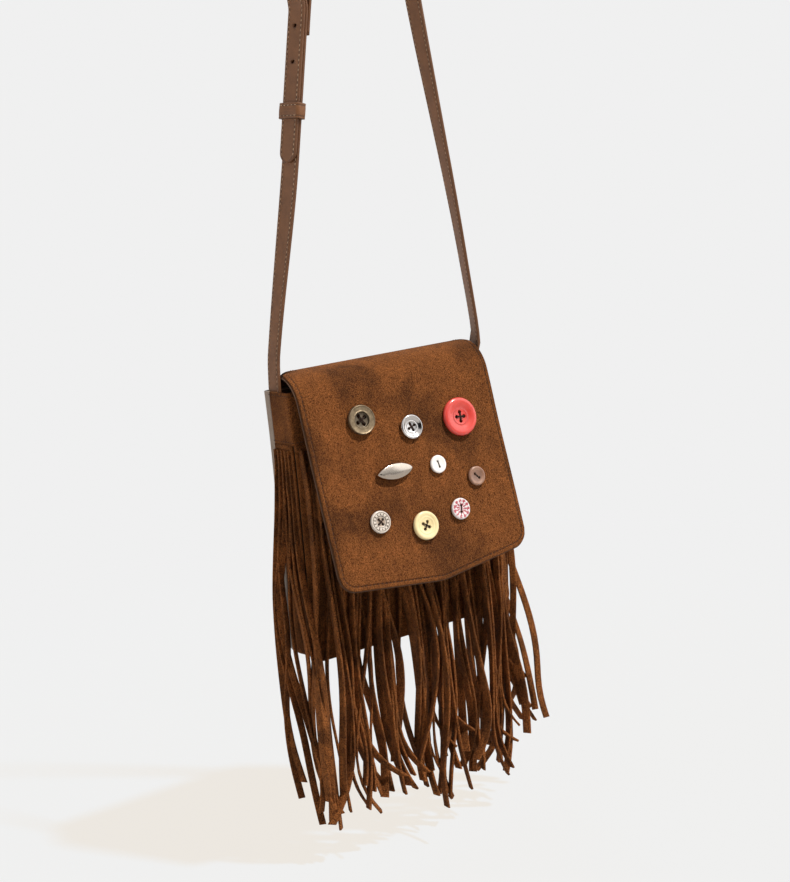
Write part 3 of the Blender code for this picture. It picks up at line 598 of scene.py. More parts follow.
def leather_material(name, dark, light, scale, roughness, edged=False):
    material, w, shader = start_material(name)
    colour, height = use_group(w, leather_grain, scale, dark, light)
    if edged:
        reach, groove = edge_and_groove(w, STRAP_SEAM, 0.0007)
        # The rim is darker towards the cut edge, and the seam's groove is darkened in colour as painted
        # shade.
        colour = darken(w, colour, w.spread(reach, 0.0002, 0.0009), 0.45, (0.055, 0.024, 0.013))
        colour = darken(w, colour, groove, 0.75, (0.035, 0.014, 0.007))
        height = w.math("MULTIPLY_ADD", groove, 2.0, height)
    dress(w, shader, height, 0.35, 0.00012, {
        "Base Color": colour, "Roughness": w.spread(height, 0.0, 1.0, roughness + 0.08, roughness),
        "Specular IOR Level": 0.32})
    return material


flap_suede = suede_material("flap_suede", SUEDE_DARK, SUEDE_LIGHT, edged=True)
pouch_suede = suede_material("pouch_suede", SUEDE_DARK, SUEDE_LIGHT)
strip_suede = suede_material("strip_suede", (0.030, 0.0085, 0.0018), (0.375, 0.127, 0.0335),
                             patch_scale=60.0)
strap_leather = leather_material("strap_leather", (0.150, 0.060, 0.022), (0.250, 0.106, 0.042),
                                 1100.0, 0.45, edged=True)
back_leather = leather_material("back_leather", (0.22, 0.16, 0.12), (0.33, 0.26, 0.205), 800.0, 0.5)
backing_leather = leather_material("backing_leather", (0.075, 0.034, 0.016), (0.140, 0.066, 0.033),
                                   900.0, 0.7)
print("suede and leather made")

# %% [markdown]
# Lining cloth is a plain weave: two sets of yarns that pass over and under.
# Two wave textures at right angles give the weave its colour and height.

# %% Lining cloth and thread
def cloth_material(name, dark, light):
    material, w, shader = start_material(name)
    yarns = [w.add("ShaderNodeTexWave", {"Vector": object_place(w), "Scale": 380.0, "Distortion": 0.6},
                   bands_direction=direction).outputs["Fac"] for direction in ("X", "Z")]
    weave = w.math("MULTIPLY", *yarns)
    dress(w, shader, weave, 0.4, 0.0002, {
        "Base Color": w.blend(weave, dark, light), "Roughness": 0.9, "Sheen Weight": 0.2})
    return material


def thread_material(name, dark, light):
    material, w, shader = start_material(name)
    ply = w.spread(w.noise(object_place(w), 2600.0, 2.0, 0.6), 0.3, 0.7)
    dress(w, shader, ply, 0.5, 0.0002, {
        "Base Color": w.blend(ply, dark, light), "Roughness": 0.8, "Specular IOR Level": 0.2,
        "Sheen Weight": 0.05})
    return material


lining_cloth = cloth_material("lining_cloth", (0.06, 0.04, 0.028), (0.19, 0.14, 0.10))
button_thread = thread_material("button_thread", (0.010, 0.005, 0.003), (0.045, 0.021, 0.012))
seam_thread = thread_material("seam_thread", (0.020, 0.008, 0.003), (0.075, 0.032, 0.014))
strap_thread = thread_material("strap_thread", (0.34, 0.21, 0.12), (0.60, 0.42, 0.28))
print("cloth and thread made")

# %% [markdown]
# The pouch is sewn from a few sheets: a swollen front, a band that runs down one
# side, under the foot and up the other, and a smooth back that wraps a little
# way onto the sides. Each is a grid of points that follows the pouch's outline,
# thickened inwards, with its cut edges rounded.

# %% Outline of the pouch
def front_depth(z):
    return DEPTH_TOP + (DEPTH_FOOT - DEPTH_TOP) * min(-z / POUCH_HEIGHT, 1.0)


def front_face(x, z):
    across = max(0.0, 1 - (x / half_width) ** 2)
    down = max(0.0, math.sin(math.pi * min(max(-z / POUCH_HEIGHT, 0.0), 1.0)))
    return POUCH_BACK - front_depth(z) - FRONT_BULGE * across * down


def outline_down_and_round(inset, columns=10, down=22, corner=7):
    """Down the left side, round the foot and up the right, as (x, z)."""
    wide = half_width - inset
    foot = -POUCH_HEIGHT + inset
    radius = max(FOOT_RADIUS - inset, 0.003)
    left = [(-wide, z) for z in even_steps(0.0, foot + radius, down)]
    for step in range(1, corner):
        turn = math.pi / 2 * step / corner
        left.append((-wide + radius * (1 - math.cos(turn)), foot + radius * (1 - math.sin(turn))))
    left += [(x, foot) for x in even_steps(-wide + radius, 0.0, columns)]
    return left + [(-x, z) for x, z in reversed(left[:-1])]


def side_at(z, inset):
    rise = z + POUCH_HEIGHT - inset
    radius = FOOT_RADIUS - inset
    if rise >= radius:
        return half_width - inset
    return half_width - inset - radius + math.sqrt(max(radius ** 2 - (radius - rise) ** 2, 0.0))


# %% [markdown]
# The front follows that outline down to the foot, where its rows lie closer
# together so that the rounded corners stay round.

# %% Front panel
def make_front_panel():
    inset = SUEDE + FIT
    foot = -POUCH_HEIGHT + inset
    heights = even_steps(0.0, foot + FOOT_RADIUS, 40)
    heights += [foot + FOOT_RADIUS * share for share in (0.75, 0.5, 0.3, 0.15, 0.05, 0.0)]
    rows = []
    for z in heights:
        wide = side_at(z, inset)
        rows.append([(x, front_face(x, z), z) for x in even_steps(-wide, wide, 44)])
    panel = sheet_piece("front_panel_suede", rows, pouch_suede, PANEL, 0.0004)
    return settle(panel, "pouch", "brown_suede", "front_panel")


make_front_panel()

# %% [markdown]
# The side band, or gusset, is a ribbon along the outline. Filled bags pull it
# slightly inwards between its two seams, so its middle row is drawn in a
# little, and the corners of its top edge are left soft.

# %% Side band
def make_gusset():
    inset = SUEDE + FIT
    outline = outline_down_and_round(inset)
    inward = outline_down_and_round(inset + 0.0006)
    rows = []
    for (x, z), (xi, zi) in zip(outline, inward):
        near = POUCH_BACK - front_depth(z) + PANEL + FIT
        row = []
        for share in even_steps(0.0, 1.0, 10):
            draw = 4 * share * (1 - share)
            row.append((x + (xi - x) * draw, near + (gusset_back - near) * share,
                        z + (min(zi, 0.0) - z) * draw))
        rows.append(row)
    band = sheet_piece("side_band_suede", rows, pouch_suede, PANEL, 0.0004)
    return settle(band, "pouch", "brown_suede", "gusset")


make_gusset()

# %% [markdown]
# The back is a shallow tray: a flat face with a rim that turns onto the sides.
# Rings of the outline, each a little further in, follow the rim, the rounded
# turn and then the face, and a last strip of faces closes the middle.

# %% Smooth back
BACK_TURN = 0.0035
BACK_DOWN = 24


def make_back():
    rings = [(0.0, y) for y in even_steps(POUCH_BACK - BACK_RIM, POUCH_BACK - BACK_TURN, 4)]
    for cosine, sine in arc(5)[1:]:
        rings.append((BACK_TURN * (1 - cosine), POUCH_BACK - BACK_TURN * (1 - sine)))
    rings += [(inset, POUCH_BACK) for inset in (0.006, 0.010, 0.018, 0.030, 0.045, 0.060, 0.072)]
    rows = []
    for inset, y in rings:
        rows.append([(x, y, z) for x, z in outline_down_and_round(inset, 10, BACK_DOWN, 7)])
    form = bmesh.new()
    corners = grid_faces(form, rows)
    last = corners[-1]
    for i in range(BACK_DOWN):
        form.faces.new((last[i], last[i + 1], last[-2 - i], last[-1 - i]))
    form.faces.new(last[BACK_DOWN:-BACK_DOWN])
    bmesh.ops.recalc_face_normals(form, faces=form.faces)
    form.normal_update()
    behind = max(form.faces, key=lambda face: face.calc_area())
    if behind.normal.y < 0:
        bmesh.ops.reverse_faces(form, faces=form.faces)
    back = link_mesh("back_leather_panel", mesh_of(form, "back"), back_leather)
    thicken(back, PANEL, 0.0005)
    return settle(back, "pouch", "back_leather", "back_panel")


make_back()

# %% [markdown]
# The lining is a loose cloth pouch sewn in under the mouth. It is one closed
# loop of cloth with a floor, and small folds run down it, because cloth that is
# cut longer than its seam gathers.

# %% Lining
LINING_DROP = 0.002
LINING_DEPTH = 0.188
LINING_CORNER = 0.006
LINING_FOLD = 0.0006
LINING_STEP = 0.0035
STRAP_THICKNESS = 0.0024
LINING_INSET = SUEDE + PANEL + STRAP_THICKNESS + 3 * FIT


def make_lining():
    back = POUCH_BACK - PANEL - FIT
    wide = half_width - LINING_INSET
    rows = []
    for z in even_steps(-LINING_DROP, -LINING_DEPTH, 30):
        near = POUCH_BACK - front_depth(z) + PANEL + FIT
        row = [Vector((x, y, z)) for x, y in rounded_loop(wide, near, back, LINING_CORNER, 6)]
        filled = []
        for i, point in enumerate(row):
            after = row[(i + 1) % len(row)]
            parts = max(1, round((after - point).length / LINING_STEP))
            filled += [point.lerp(after, k / parts) for k in range(parts)]
        fold = smooth_step(-z, 0.01, 0.08) * LINING_FOLD
        middle = Vector((0, (near + back) / 2, z))
        for i, point in enumerate(filled):
            wave = 0.5 + 0.5 * math.sin(i * 1.3 + 3 * z / 0.05)
            point += (middle - point).normalized() * fold * wave
        rows.append(filled)
    lining = link_mesh("lining_pouch", skin("lining", rows, caps=(-1,)), lining_cloth)
    thicken(lining, LINING * 0.6, 0.0002, 1)
    return settle(lining, "pouch", "lining_cloth", "lining")

lining_piece = make_lining()

# %% [markdown]
# It was cut as one rectangle, folded in two at its foot and sewn up its sides,
# with its lower corners boxed.

# %% [markdown]
# Round the mouth runs a band of the same suede. Its top edge is turned in over
# a cord, which makes a soft roll, and its foot is stitched down where the
# fringe starts.

# %% Mouth band
YOKE_CORNER = SUEDE + 2 * FIT
ROLL_SEAM = 0.0022
FOOT_SEAM = 0.0018


def mouth_plan(z, shrink, across=30):
    """Left side, front and right side of the band at a height, as points."""
    wide = half_width - shrink
    radius = max(YOKE_CORNER - shrink, 0.0004)
    near = POUCH_BACK - front_depth(z) - SUEDE - FIT + shrink
    left = [(-wide, y, z) for y in even_steps(gusset_back, near + radius, 8)]
    for cosine, sine in arc(4)[1:-1]:
        left.append((-wide + radius * (1 - cosine), near + radius * (1 - sine), z))
    left += [(x, front_face(x, z) - SUEDE - FIT + shrink, z)
             for x in even_steps(-wide + radius, 0.0, across // 2)]
    return left + [(-x, y, z) for x, y, z in reversed(left[:-1])]


def make_mouth_band():
    rows = [mouth_plan(z, 0.00025 * math.exp(-((z + ROLL_SEAM) / 0.0006) ** 2))
            for z in even_steps(0.0, -YOKE_HEIGHT, 20)]
    band = sheet_piece("mouth_band_suede", rows, pouch_suede, SUEDE, 0.0005, 3)
    return settle(band, "pouch", "brown_suede", "yoke")


make_mouth_band()

# %% [markdown]
# Strips and cords share one tree of Geometry Nodes. It takes lines made of
# short edges, each point with a "face" direction, turns them to curves, and
# sweeps a rounded flat section along them. The section's width, thickness and
# rounding are inputs, so that the same tree makes any strip.

# %% Strip tree
def close_tree(w, start, end, geometry):
    """Each tree ends in real meshes with the material that it is given."""
    real = w.add("GeometryNodeRealizeInstances", {"Geometry": geometry}).outputs["Geometry"]
    painted = w.add("GeometryNodeSetMaterial", {"Geometry": real, "Material": start["Material"]})
    w.set(end, {"Geometry": painted.outputs["Geometry"]})


def tree_for_lines(name, *sizes):
    """A tree that starts with lines as curves, and with the way their points face."""
    inputs = {"Geometry": "Geometry", **{size: "Float" for size in sizes}, "Material": "Material"}
    w, start, end, names = new_tree(name, "GeometryNodeTree", inputs, {"Geometry": "Geometry"})
    curve = w.add("GeometryNodeMeshToCurve", {"Mesh": start["Geometry"]}).outputs["Curve"]
    face = w.add("GeometryNodeInputNamedAttribute", {"Name": "face"}, data_type="FLOAT_VECTOR")
    return w, start, end, names, curve, face.outputs["Attribute"]


def build_strip_tree():
    w, start, end, names, curve, face = tree_for_lines("sweep_strips", "Width", "Thickness", "Rounding")
    tilted = w.add("GeometryNodeSetCurveNormal", {"Curve": curve, "Normal": face}, mode="FREE")
    section = w.add("GeometryNodeCurvePrimitiveQuadrilateral", {
        "Width": start["Width"], "Height": start["Thickness"]})
    rounded = w.add("GeometryNodeFilletCurve", {
        "Curve": section.outputs["Curve"], "Radius": start["Rounding"], "Count": 3}, mode="POLY")
    sweep = w.add("GeometryNodeCurveToMesh", {
        "Curve": tilted.outputs["Curve"], "Profile Curve": rounded.outputs["Curve"], "Fill Caps": True})
    close_tree(w, start, end, sweep.outputs["Mesh"])
    return w.tree, names


strip_tree = build_strip_tree()


def run_tree(name, lines, faces, tree, names, inputs):
    """Run a tree over lines of short edges whose points know which way their sheet faces."""
    mesh = bpy.data.meshes.new(name)
    edges = []
    first = 0
    for line in lines:
        edges += [(first + i, first + i + 1) for i in range(len(line) - 1)]
        first += len(line)
    mesh.from_pydata([point for line in lines for point in line], edges, [])
    store(mesh, "face", [normal for line in faces for normal in line])
    piece = link(name, mesh)
    modifier = piece.modifiers.new("tree", "NODES")
    modifier.node_group = tree
    for label, value in inputs.items():
        modifier[names[label]] = value
    finish_modifiers(piece)
    return piece


def sweep_lines(name, lines, faces, width, thickness, rounding, material):
    return run_tree(name, lines, faces, *strip_tree, {
        "Width": width, "Thickness": thickness, "Rounding": rounding, "Material": material})


# %% [markdown]
# The fringe is cut from long pieces of suede: a narrow uncut edge is sewn in
# under the mouth band, and each strip hangs from it. Real strips sway, bow,
# turn about their own length and cross one another, the more the nearer their
# tips. A seeded generator gives every strip its own sway, so each run is the
# same.

# %% Fringe
STRIP_WIDTH = 0.0066
STRIP_THICKNESS = 0.0018
FRINGE_HEAD = 0.0045
OUTER_STRIPS = 31
INNER_STRIPS = 33
SIDE_STRIPS = 8
SIDE_WIDTH = 0.0052
OUTER_LENGTH = 0.272
INNER_LENGTH = 0.246
SIDE_LENGTH = 0.268
LENGTH_SPREAD = 0.016
BUNCH_GAP = 0.027
LEFT_CORNER_PULL = 0.013
LEFT_BUNCH_PULL = 0.009
RIGHT_BUNCH_PULL = 0.017
LEFT_DRIFTS = (-0.026, 0.000)
LEFT_BULGES = (0.000, 0.011)
RIGHT_DRIFTS = (0.003, -0.004)
RIGHT_BULGES = (0.007, 0.005)
ROOT_STEP = 0.0010
INNER_ROW_DROP = 0.011
WALL_FOOT = -0.110
LAYER_STEP = 0.0021
SWAY_FREE = 0.088
SWAY_ROOM = 0.0128
SWAY_TURN = 1.2
BACK_FREE = 0.013
BACK_ROOM = 0.0125
STRIP_STEPS = 30
SIDE_BEND = 1.7
SIDE_ROLL = 0.65
FRONT_ROLL = 0.2
LEFT_FALL = 3.6
print("fringe strips:", OUTER_STRIPS, INNER_STRIPS, SIDE_STRIPS, SIDE_STRIPS)

# %% [markdown]
# A row hangs on a wall of the pouch. Its own coordinates are u along the wall,
# d out of it, and z up. Where a strip would sway too far from the side of the
# bag, it swings forward or back.

# %% Walls that the strips hang on
def in_front(u, d, z):
    held = front_face(u, max(z, WALL_FOOT))
    foot = front_face(u, max(z, -POUCH_HEIGHT))
    return Vector((u, min(held, foot) - d, z))


def beside(side):
    def place(u, d, z):
        return Vector((side * (gusset_half + d), u, z))
    return place


def held_near(point):
    """A strip that sways far out to its side swings forward or back instead."""
    sag = slump(point)
    out = abs(point.x - sag) - SWAY_FREE
    if out <= 0:
        return point
    side = math.copysign(1.0, point.x)
    kept = SWAY_ROOM * math.tanh(out / SWAY_ROOM)
    y = point.y - side * SWAY_TURN * (out - kept)
    if y > BACK_FREE:
        y = BACK_FREE + BACK_ROOM * math.tanh((y - BACK_FREE) / BACK_ROOM)
    return Vector((side * (SWAY_FREE + kept) + sag, y, point.z))


# %% [markdown]
# One strip is walked in short steps from its root to its tip. At each step its
# heading bends sideways and outwards by its own waves, with a hook at its tip,
# and its facing rolls.

# %% One strip
def strip_line(place, middle, length, top, out, layer, chance, drift, bulge, fall, on_side):
    """Centre line and facing of one strip, walked step by step from its root to its tip."""
    step_length = length / STRIP_STEPS
    roll_most = SIDE_ROLL if on_side else FRONT_ROLL
    bend = chance.uniform(0.05, 0.21) * (SIDE_BEND if on_side else 1.0)
    bend_waves = chance.uniform(0.7, 1.7)
    bend_start = chance.uniform(0.0, 2 * math.pi)
    hook = chance.gauss(0.0, 0.36)
    lift = chance.uniform(-0.05, 0.16)
    lift_waves = chance.uniform(0.6, 1.5)
    lift_hook = chance.gauss(0.12, 0.25)
    roll_wave = chance.gauss(0.0, roll_most)
    roll_end = chance.gauss(0.0, roll_most + 0.15)
    u, d, z = middle, out, top
    points = []
    facings = []
    for share in even_steps(0.0, 1.0, STRIP_STEPS):
        points.append(held_near(place(u, d, z)))
        roll = roll_wave * math.sin(math.pi * share) + roll_end * smooth_step(share, 0.45, 1.0)
        roll *= smooth_step(share, 0.0, 0.15)
        outward = (place(u, d + 0.001, z) - place(u, d, z)).normalized()
        along = (place(u + 0.001, d, z) - place(u, d, z)).normalized()
        facings.append(outward * math.cos(roll) + along * math.sin(roll))
        loose = smooth_step(share, 0.03, 0.40)
        sideways = 2 * share * drift / length + hook * smooth_step(share, 0.74, 1.0)
        sideways += bend * loose * math.sin(2 * math.pi * bend_waves * share + bend_start)
        outwards = lift * loose * math.sin(2 * math.pi * lift_waves * share)
        outwards += lift_hook * smooth_step(share, 0.8, 1.0)
        outwards += 3.5 * bulge / length * math.sin(2 * math.pi * min(share / 0.9, 0.5))
        outwards -= fall * bulge / length * smooth_step(share, 0.78, 0.98)
        laid = smooth_step(share, 0.0, 0.12)
        laid_next = smooth_step(share + 1 / STRIP_STEPS, 0.0, 0.12)
        u += step_length * math.sin(sideways)
        d += step_length * math.sin(outwards) + layer * (laid_next - laid)
        z -= step_length * math.cos(sideways) * math.cos(outwards)
        if z > -POUCH_HEIGHT:
            d = max(d, out + layer * laid)
    return points, facings


# %% [markdown]
# A row is its uncut edge with its strips in one mesh. Every other strip lies
# one layer further out, so neighbours overlap without meeting.

# %% Rows of the fringe
def head_sheet(place, start, end, top):
    """The uncut edge that the strips hang from."""
    face = FIT + STRIP_THICKNESS
    section = ((face, 0.0), (face, FRINGE_HEAD), (FIT, FRINGE_HEAD), (FIT, 0.0))
    return skin("head", [[place(u, d, top - drop) for d, drop in section]
                         for u in even_steps(start, end, 48)])


def front_drift(middle):
    """The hanging strips gather in two loose bunches with a gap between them."""
    if middle < BUNCH_GAP:
        corner = LEFT_CORNER_PULL * fade(middle, -0.085, -0.045)
        return -corner - LEFT_BUNCH_PULL * smooth_step(middle, -0.02, BUNCH_GAP)
    return 0.006 - RIGHT_BUNCH_PULL * (middle - BUNCH_GAP) / (half_width - BUNCH_GAP)


def make_fringe(name, node, place, start, end, count, top, length, stand, seed, drifts=None, bulges=None):
    chance = random.Random(seed)
    width = SIDE_WIDTH if drifts else STRIP_WIDTH
    pitch = (end - start - width) / (count - 1)
    fall = LEFT_FALL if drifts is LEFT_DRIFTS else 0.0
    lines = []
    facings = []
    for strip in range(count):
        middle = start + pitch * strip + width / 2
        reach = length + chance.uniform(-1.0, 1.0) * LENGTH_SPREAD
        above = ROOT_STEP * (strip % 2)
        layer = stand + LAYER_STEP * (strip % 2) - above
        drift = front_drift(middle) + chance.gauss(0.0, 0.004)
        bulge = 0.0
        if drifts:
            share = strip / (count - 1)
            drift = drifts[0] + (drifts[1] - drifts[0]) * share + chance.gauss(0.0, 0.0012)
            bulge = bulges[0] + (bulges[1] - bulges[0]) * share + chance.gauss(0.0, 0.0008)
        line, facing = strip_line(place, middle, reach, top - FRINGE_HEAD + 0.001,
                                  FIT + STRIP_THICKNESS / 2 + above, layer, chance, drift, bulge,
                                  fall, bool(drifts))
        lines.append(line)
        facings.append(facing)
    fringe = sweep_lines(name, lines, facings, width, STRIP_THICKNESS, 0.0007, strip_suede)
    head = head_sheet(place, start, end, top)
    form = bmesh.new()
    form.from_mesh(head)
    form.from_mesh(fringe.data)
    form.to_mesh(fringe.data)
    form.free()
    bpy.data.meshes.remove(head)
    paint(fringe, strip_suede)
    return settle(fringe, "pouch", "brown_suede", node)


fringe_top = -YOKE_HEIGHT - FIT
inner_top = fringe_top - FRINGE_HEAD - INNER_ROW_DROP
row_end = half_width - SUEDE - FIT
inner_end = row_end - STRIP_WIDTH
side_row = (POUCH_BACK - DEPTH_TOP + PANEL, gusset_back - FIT, SIDE_STRIPS, fringe_top)
make_fringe("fringe_outer_row", "fringe_outer", in_front, -row_end, row_end, OUTER_STRIPS,
            fringe_top, OUTER_LENGTH, 2 * LAYER_STEP, 4)
make_fringe("fringe_inner_row", "fringe_inner", in_front, -inner_end, inner_end, INNER_STRIPS,
            inner_top, INNER_LENGTH, 0.0, 9)
make_fringe("fringe_left_side", "fringe_left", beside(-1), *side_row, SIDE_LENGTH, 0.0, 2,
            LEFT_DRIFTS, LEFT_BULGES)
make_fringe("fringe_right_side", "fringe_right", beside(1), *side_row, SIDE_LENGTH - 0.025, 0.0, 3,
            RIGHT_DRIFTS, RIGHT_BULGES)

# %% [markdown]
# The flap is one sheet of suede. It is sewn to the back, arches over the mouth
# and bends down the front, where it ends in rounded corners and a shallow
# point. It is built as a grid: one number runs across it and one along its
# profile from the back seam, so its edges follow the real cut.

# %% Flap profile
FLAP_WIDTH = 0.1618
FLAP_OFFSET = -0.0058
FLAP_DROP = 0.1328
FLAP_POINT = 0.0100
POINT_SHIFT = 0.003
POINT_RADIUS = 0.040
FLAP_LEAN = math.radians(13.0)
FLAP_CORNER = 0.011
CROWN_TOP = 0.0136
CROWN_RIDGE = -0.0083
BEND_RADIUS = 0.0266
BACKING = 0.0010
BACKING_LIP = 0.0008
CROWN_DRAW_LEFT = 0.0118
CROWN_DRAW_RIGHT = 0.0015
DRAW_REACH = 0.0285
DRAW_EASE = 0.0060
flap_half = FLAP_WIDTH / 2
bend_turn = math.pi / 2 - FLAP_LEAN
bend_centre = Vector((0, CROWN_RIDGE, CROWN_TOP - BEND_RADIUS))
flap_down = Vector((0, -math.sin(FLAP_LEAN), -math.cos(FLAP_LEAN)))
flap_out = Vector((0, -math.cos(FLAP_LEAN), math.sin(FLAP_LEAN)))
bend_end = bend_centre + BEND_RADIUS * flap_out


def crown_profile():
    """Points and normals over the mouth, from the back seam to the bend's end."""
    points = []
    long_axis = POUCH_BACK - CROWN_RIDGE
    short_axis = CROWN_TOP - FIT
    for cosine, sine in arc(20)[:-1]:
        point = Vector((0, CROWN_RIDGE + long_axis * cosine, FIT + short_axis * sine))
        normal = Vector((0, cosine / long_axis, sine / short_axis)).normalized()
        points.append((point, normal))
    for cosine, sine in arc(24, bend_turn):
        normal = Vector((0, -sine, cosine))
        points.append((bend_centre + BEND_RADIUS * normal, normal))
    return points


profile = crown_profile()
lengths = [0.0]
for (before, _), (after, _) in zip(profile, profile[1:]):
    lengths.append(lengths[-1] + (after - before).length)
crown_length = lengths[-1]
print("crown of the flap", round(crown_length, 4), "m long")


def profile_at(s):
    """Place and normal at s metres below the bend; s is negative over the mouth."""
    if s >= 0:
        return bend_end + flap_down * s, flap_out.copy()
    along = max(s + crown_length, 0.0)
    for i in range(len(lengths) - 1):
        if along <= lengths[i + 1]:
            share = (along - lengths[i]) / (lengths[i + 1] - lengths[i])
            (p0, n0), (p1, n1) = profile[i], profile[i + 1]
            return p0.lerp(p1, share), n0.lerp(n1, share).normalized()
    return profile[-1]


# %% [markdown]
# The edge is a function too: the crown's ends are drawn in, so that it clears
# the strap when it lifts, and the foot has a rounded point between round
# corners. A search tree over the edge's points gives any place its distance
# from the cut.

# %% Outline of the flap
def flap_sides(s, inset):
    """Left and right edge of the flap at a place on its profile."""
    point, _ = profile_at(min(s, 0.0))
    reach = math.hypot(point.y - POUCH_BACK, point.z - FIT)
    drawn = fade(reach, DRAW_REACH, DRAW_REACH + DRAW_EASE) if s < 0 else 0.0
    left = FLAP_OFFSET - flap_half + CROWN_DRAW_LEFT * drawn + inset
    right = FLAP_OFFSET + flap_half - CROWN_DRAW_RIGHT * drawn - inset
    return left, right


def flap_foot(u, inset):
    """How far below the bend the lower edge is at u: a rounded point and corners."""
    left = FLAP_OFFSET - flap_half + inset
    right = FLAP_OFFSET + flap_half - inset
    tip = FLAP_OFFSET + POINT_SHIFT
    corner = FLAP_DROP - inset
    span = (tip - left) if u < tip else (right - tip)
    away = abs(u - tip)
    slope = FLAP_POINT / span
    soft = POINT_RADIUS * slope
    if away < soft:
        down = corner + FLAP_POINT - slope * soft / 2 - slope * away * away / (2 * soft)
    else:
        down = corner + FLAP_POINT - slope * away
    radius = FLAP_CORNER - inset
    side = min(u - left, right - u)
    if side < radius:
        down -= radius - math.sqrt(max(radius ** 2 - (radius - max(side, 0.0)) ** 2, 0.0))
    return down


def flap_edge(inset, step=0.0008, back=0.004):
    """Points (u, s) along the flap's edge: down the left, along the foot, up the right."""
    top = -crown_length + back
    left_stop = flap_foot(flap_sides(1.0, inset)[0], inset)
    rows = even_steps(top, left_stop, int((left_stop - top) / step))
    line = [(flap_sides(s, inset)[0], s) for s in rows]
    left, right = flap_sides(1.0, inset)
    foot = []
    for i in range(1, 400):
        turn = math.pi * i / 400
        u = (left + right) / 2 - (right - left) / 2 * math.cos(turn)
        foot.append((u, flap_foot(u, inset)))
    return line + foot + [(flap_sides(s, inset)[1], s) for s in reversed(rows)]


edge_line = flap_edge(0.0, back=0.0)
edge_tree = KDTree(len(edge_line))
for i, (u, s) in enumerate(edge_line):
    edge_tree.insert((u, s, 0), i)
edge_tree.balance()
print("flap edge", len(edge_line), "points")

# %% [markdown]
# Nine fastenings are sewn on. Their places and sizes are needed before the
# flap's mesh, because each presses the suede in a little. Across and down are
# measured on the flap from its middle and its bend.

# %% Places of the buttons
# name: diameter, across, down, holes, turn of the holes in degrees
BUTTON_PLACES = {
    "brass": (0.0215, -0.0364, 0.0187, 4, 26),
    "steel": (0.0180, 0.0024, 0.0310, 4, 20),
    "red": (0.0285, 0.0451, 0.0313, 4, 85),
    "white": (0.0132, 0.0175, 0.0614, 2, 99),
    "taupe": (0.0144, 0.0483, 0.0762, 2, 132),
    "ringed": (0.0160, -0.0407, 0.0914, 4, 35),
    "cream": (0.0208, -0.0044, 0.1018, 4, 56),
    "pink": (0.0157, 0.0282, 0.0965, 2, 77)}
STUD_LENGTH = 0.0300
STUD_WIDTH = 0.0120
STUD_HEIGHT = 0.0048
STUD_PLACE = (-0.0196, 0.0593)
STUD_TURN = math.radians(0.5)


def flap_wave(u, s):
    """Slow waves of a soft sheet, and a dimple under each button."""
    away = smooth_step(s, 0.0, 0.04)
    wave = 0.00055 * away * math.sin(u / 0.019 + 1.3) * math.sin(s / 0.024 + 0.4)
    wave += 0.0006 * away * math.sin((u + 0.6 * s) / 0.033 + 0.5)
    for size, across, down, _, _ in BUTTON_PLACES.values():
        gap = math.hypot(u - FLAP_OFFSET - across, s - down) / (size * 0.55)
        if gap < 2.5:
            wave -= 0.00035 * math.exp(-gap * gap)
    return wave


# %% [markdown]
# The suede and its backing are the same grid at two depths, and each is thickened.

# %% Flap meshes
BLEND_BEFORE = 0.014
BLEND_AFTER = 0.007


def flap_grid(inset, depth, columns=84, crown_rows=30, front_rows=72):
    """Grid over the flap at a depth below its outer face, and each point's edge distance."""
    rows = []
    reaches = []
    levels = [("crown", s) for s in even_steps(-crown_length, 0.0, crown_rows)[:-1]]
    levels += [("front", 1 - (1 - share) ** 1.2) for share in even_steps(0.0, 1.0, front_rows)]
    for kind, value in levels:
        left, right = flap_sides(value if kind == "crown" else 0.0, inset)
        row = []
        for t in even_steps(0.0, 1.0, columns):
            eased = 0.6 * t + 0.4 * (0.5 - 0.5 * math.cos(math.pi * t))
            u = left + (right - left) * eased
            s = value if kind == "crown" else value * flap_foot(u, inset)
            point, normal = profile_at(s)
            place = point + normal * (flap_wave(u, s) - depth)
            row.append(Vector((u, place.y, place.z)))
            reaches.append(edge_tree.find((u, s, 0))[2])
        rows.append(row)
    return rows, reaches


def bend_at_fold(piece):
    start = BAG_ZERO + profile_at(-BLEND_BEFORE)[0]
    end = BAG_ZERO + profile_at(BLEND_AFTER)[0]
    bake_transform(piece)


def make_flap(name, inset, depth, thickness, material, slot, nodes_for, rounding):
    rows, reaches = flap_grid(inset, depth)
    form = bmesh.new()
    grid_faces(form, rows)
    bmesh.ops.recalc_face_normals(form, faces=form.faces)
    form.faces.ensure_lookup_table()
    if form.faces[len(form.faces) * 2 // 3].normal.y > 0:
        bmesh.ops.reverse_faces(form, faces=form.faces)
    mesh = mesh_of(form, name)
    store(mesh, "edge", reaches)
    flap = link_mesh(name, mesh, material)
    thicken(flap, thickness, rounding, 3)
    settle(flap, None, slot, *nodes_for)
    bend_at_fold(flap)
    return flap


flap_suede_piece = make_flap("flap_suede_sheet", 0.0, 0.0, SUEDE, flap_suede, "brown_suede",
                             ("flap", "flap_crown"), 0.0005)
flap_backing_piece = make_flap("flap_backing_sheet", -BACKING_LIP, SUEDE + FIT / 3, BACKING,
                               backing_leather, "flap_backing",
                               ("flap_backing", "flap_crown_backing"), 0.0003)

# %% [markdown]
# Stitches repeat along a seam, so a tree of Geometry Nodes sets them: the seam
# is a line of short edges, resampled at the stitch's pitch, and each point gets
# a small rounded stitch that lies along the line and faces out of the sheet.

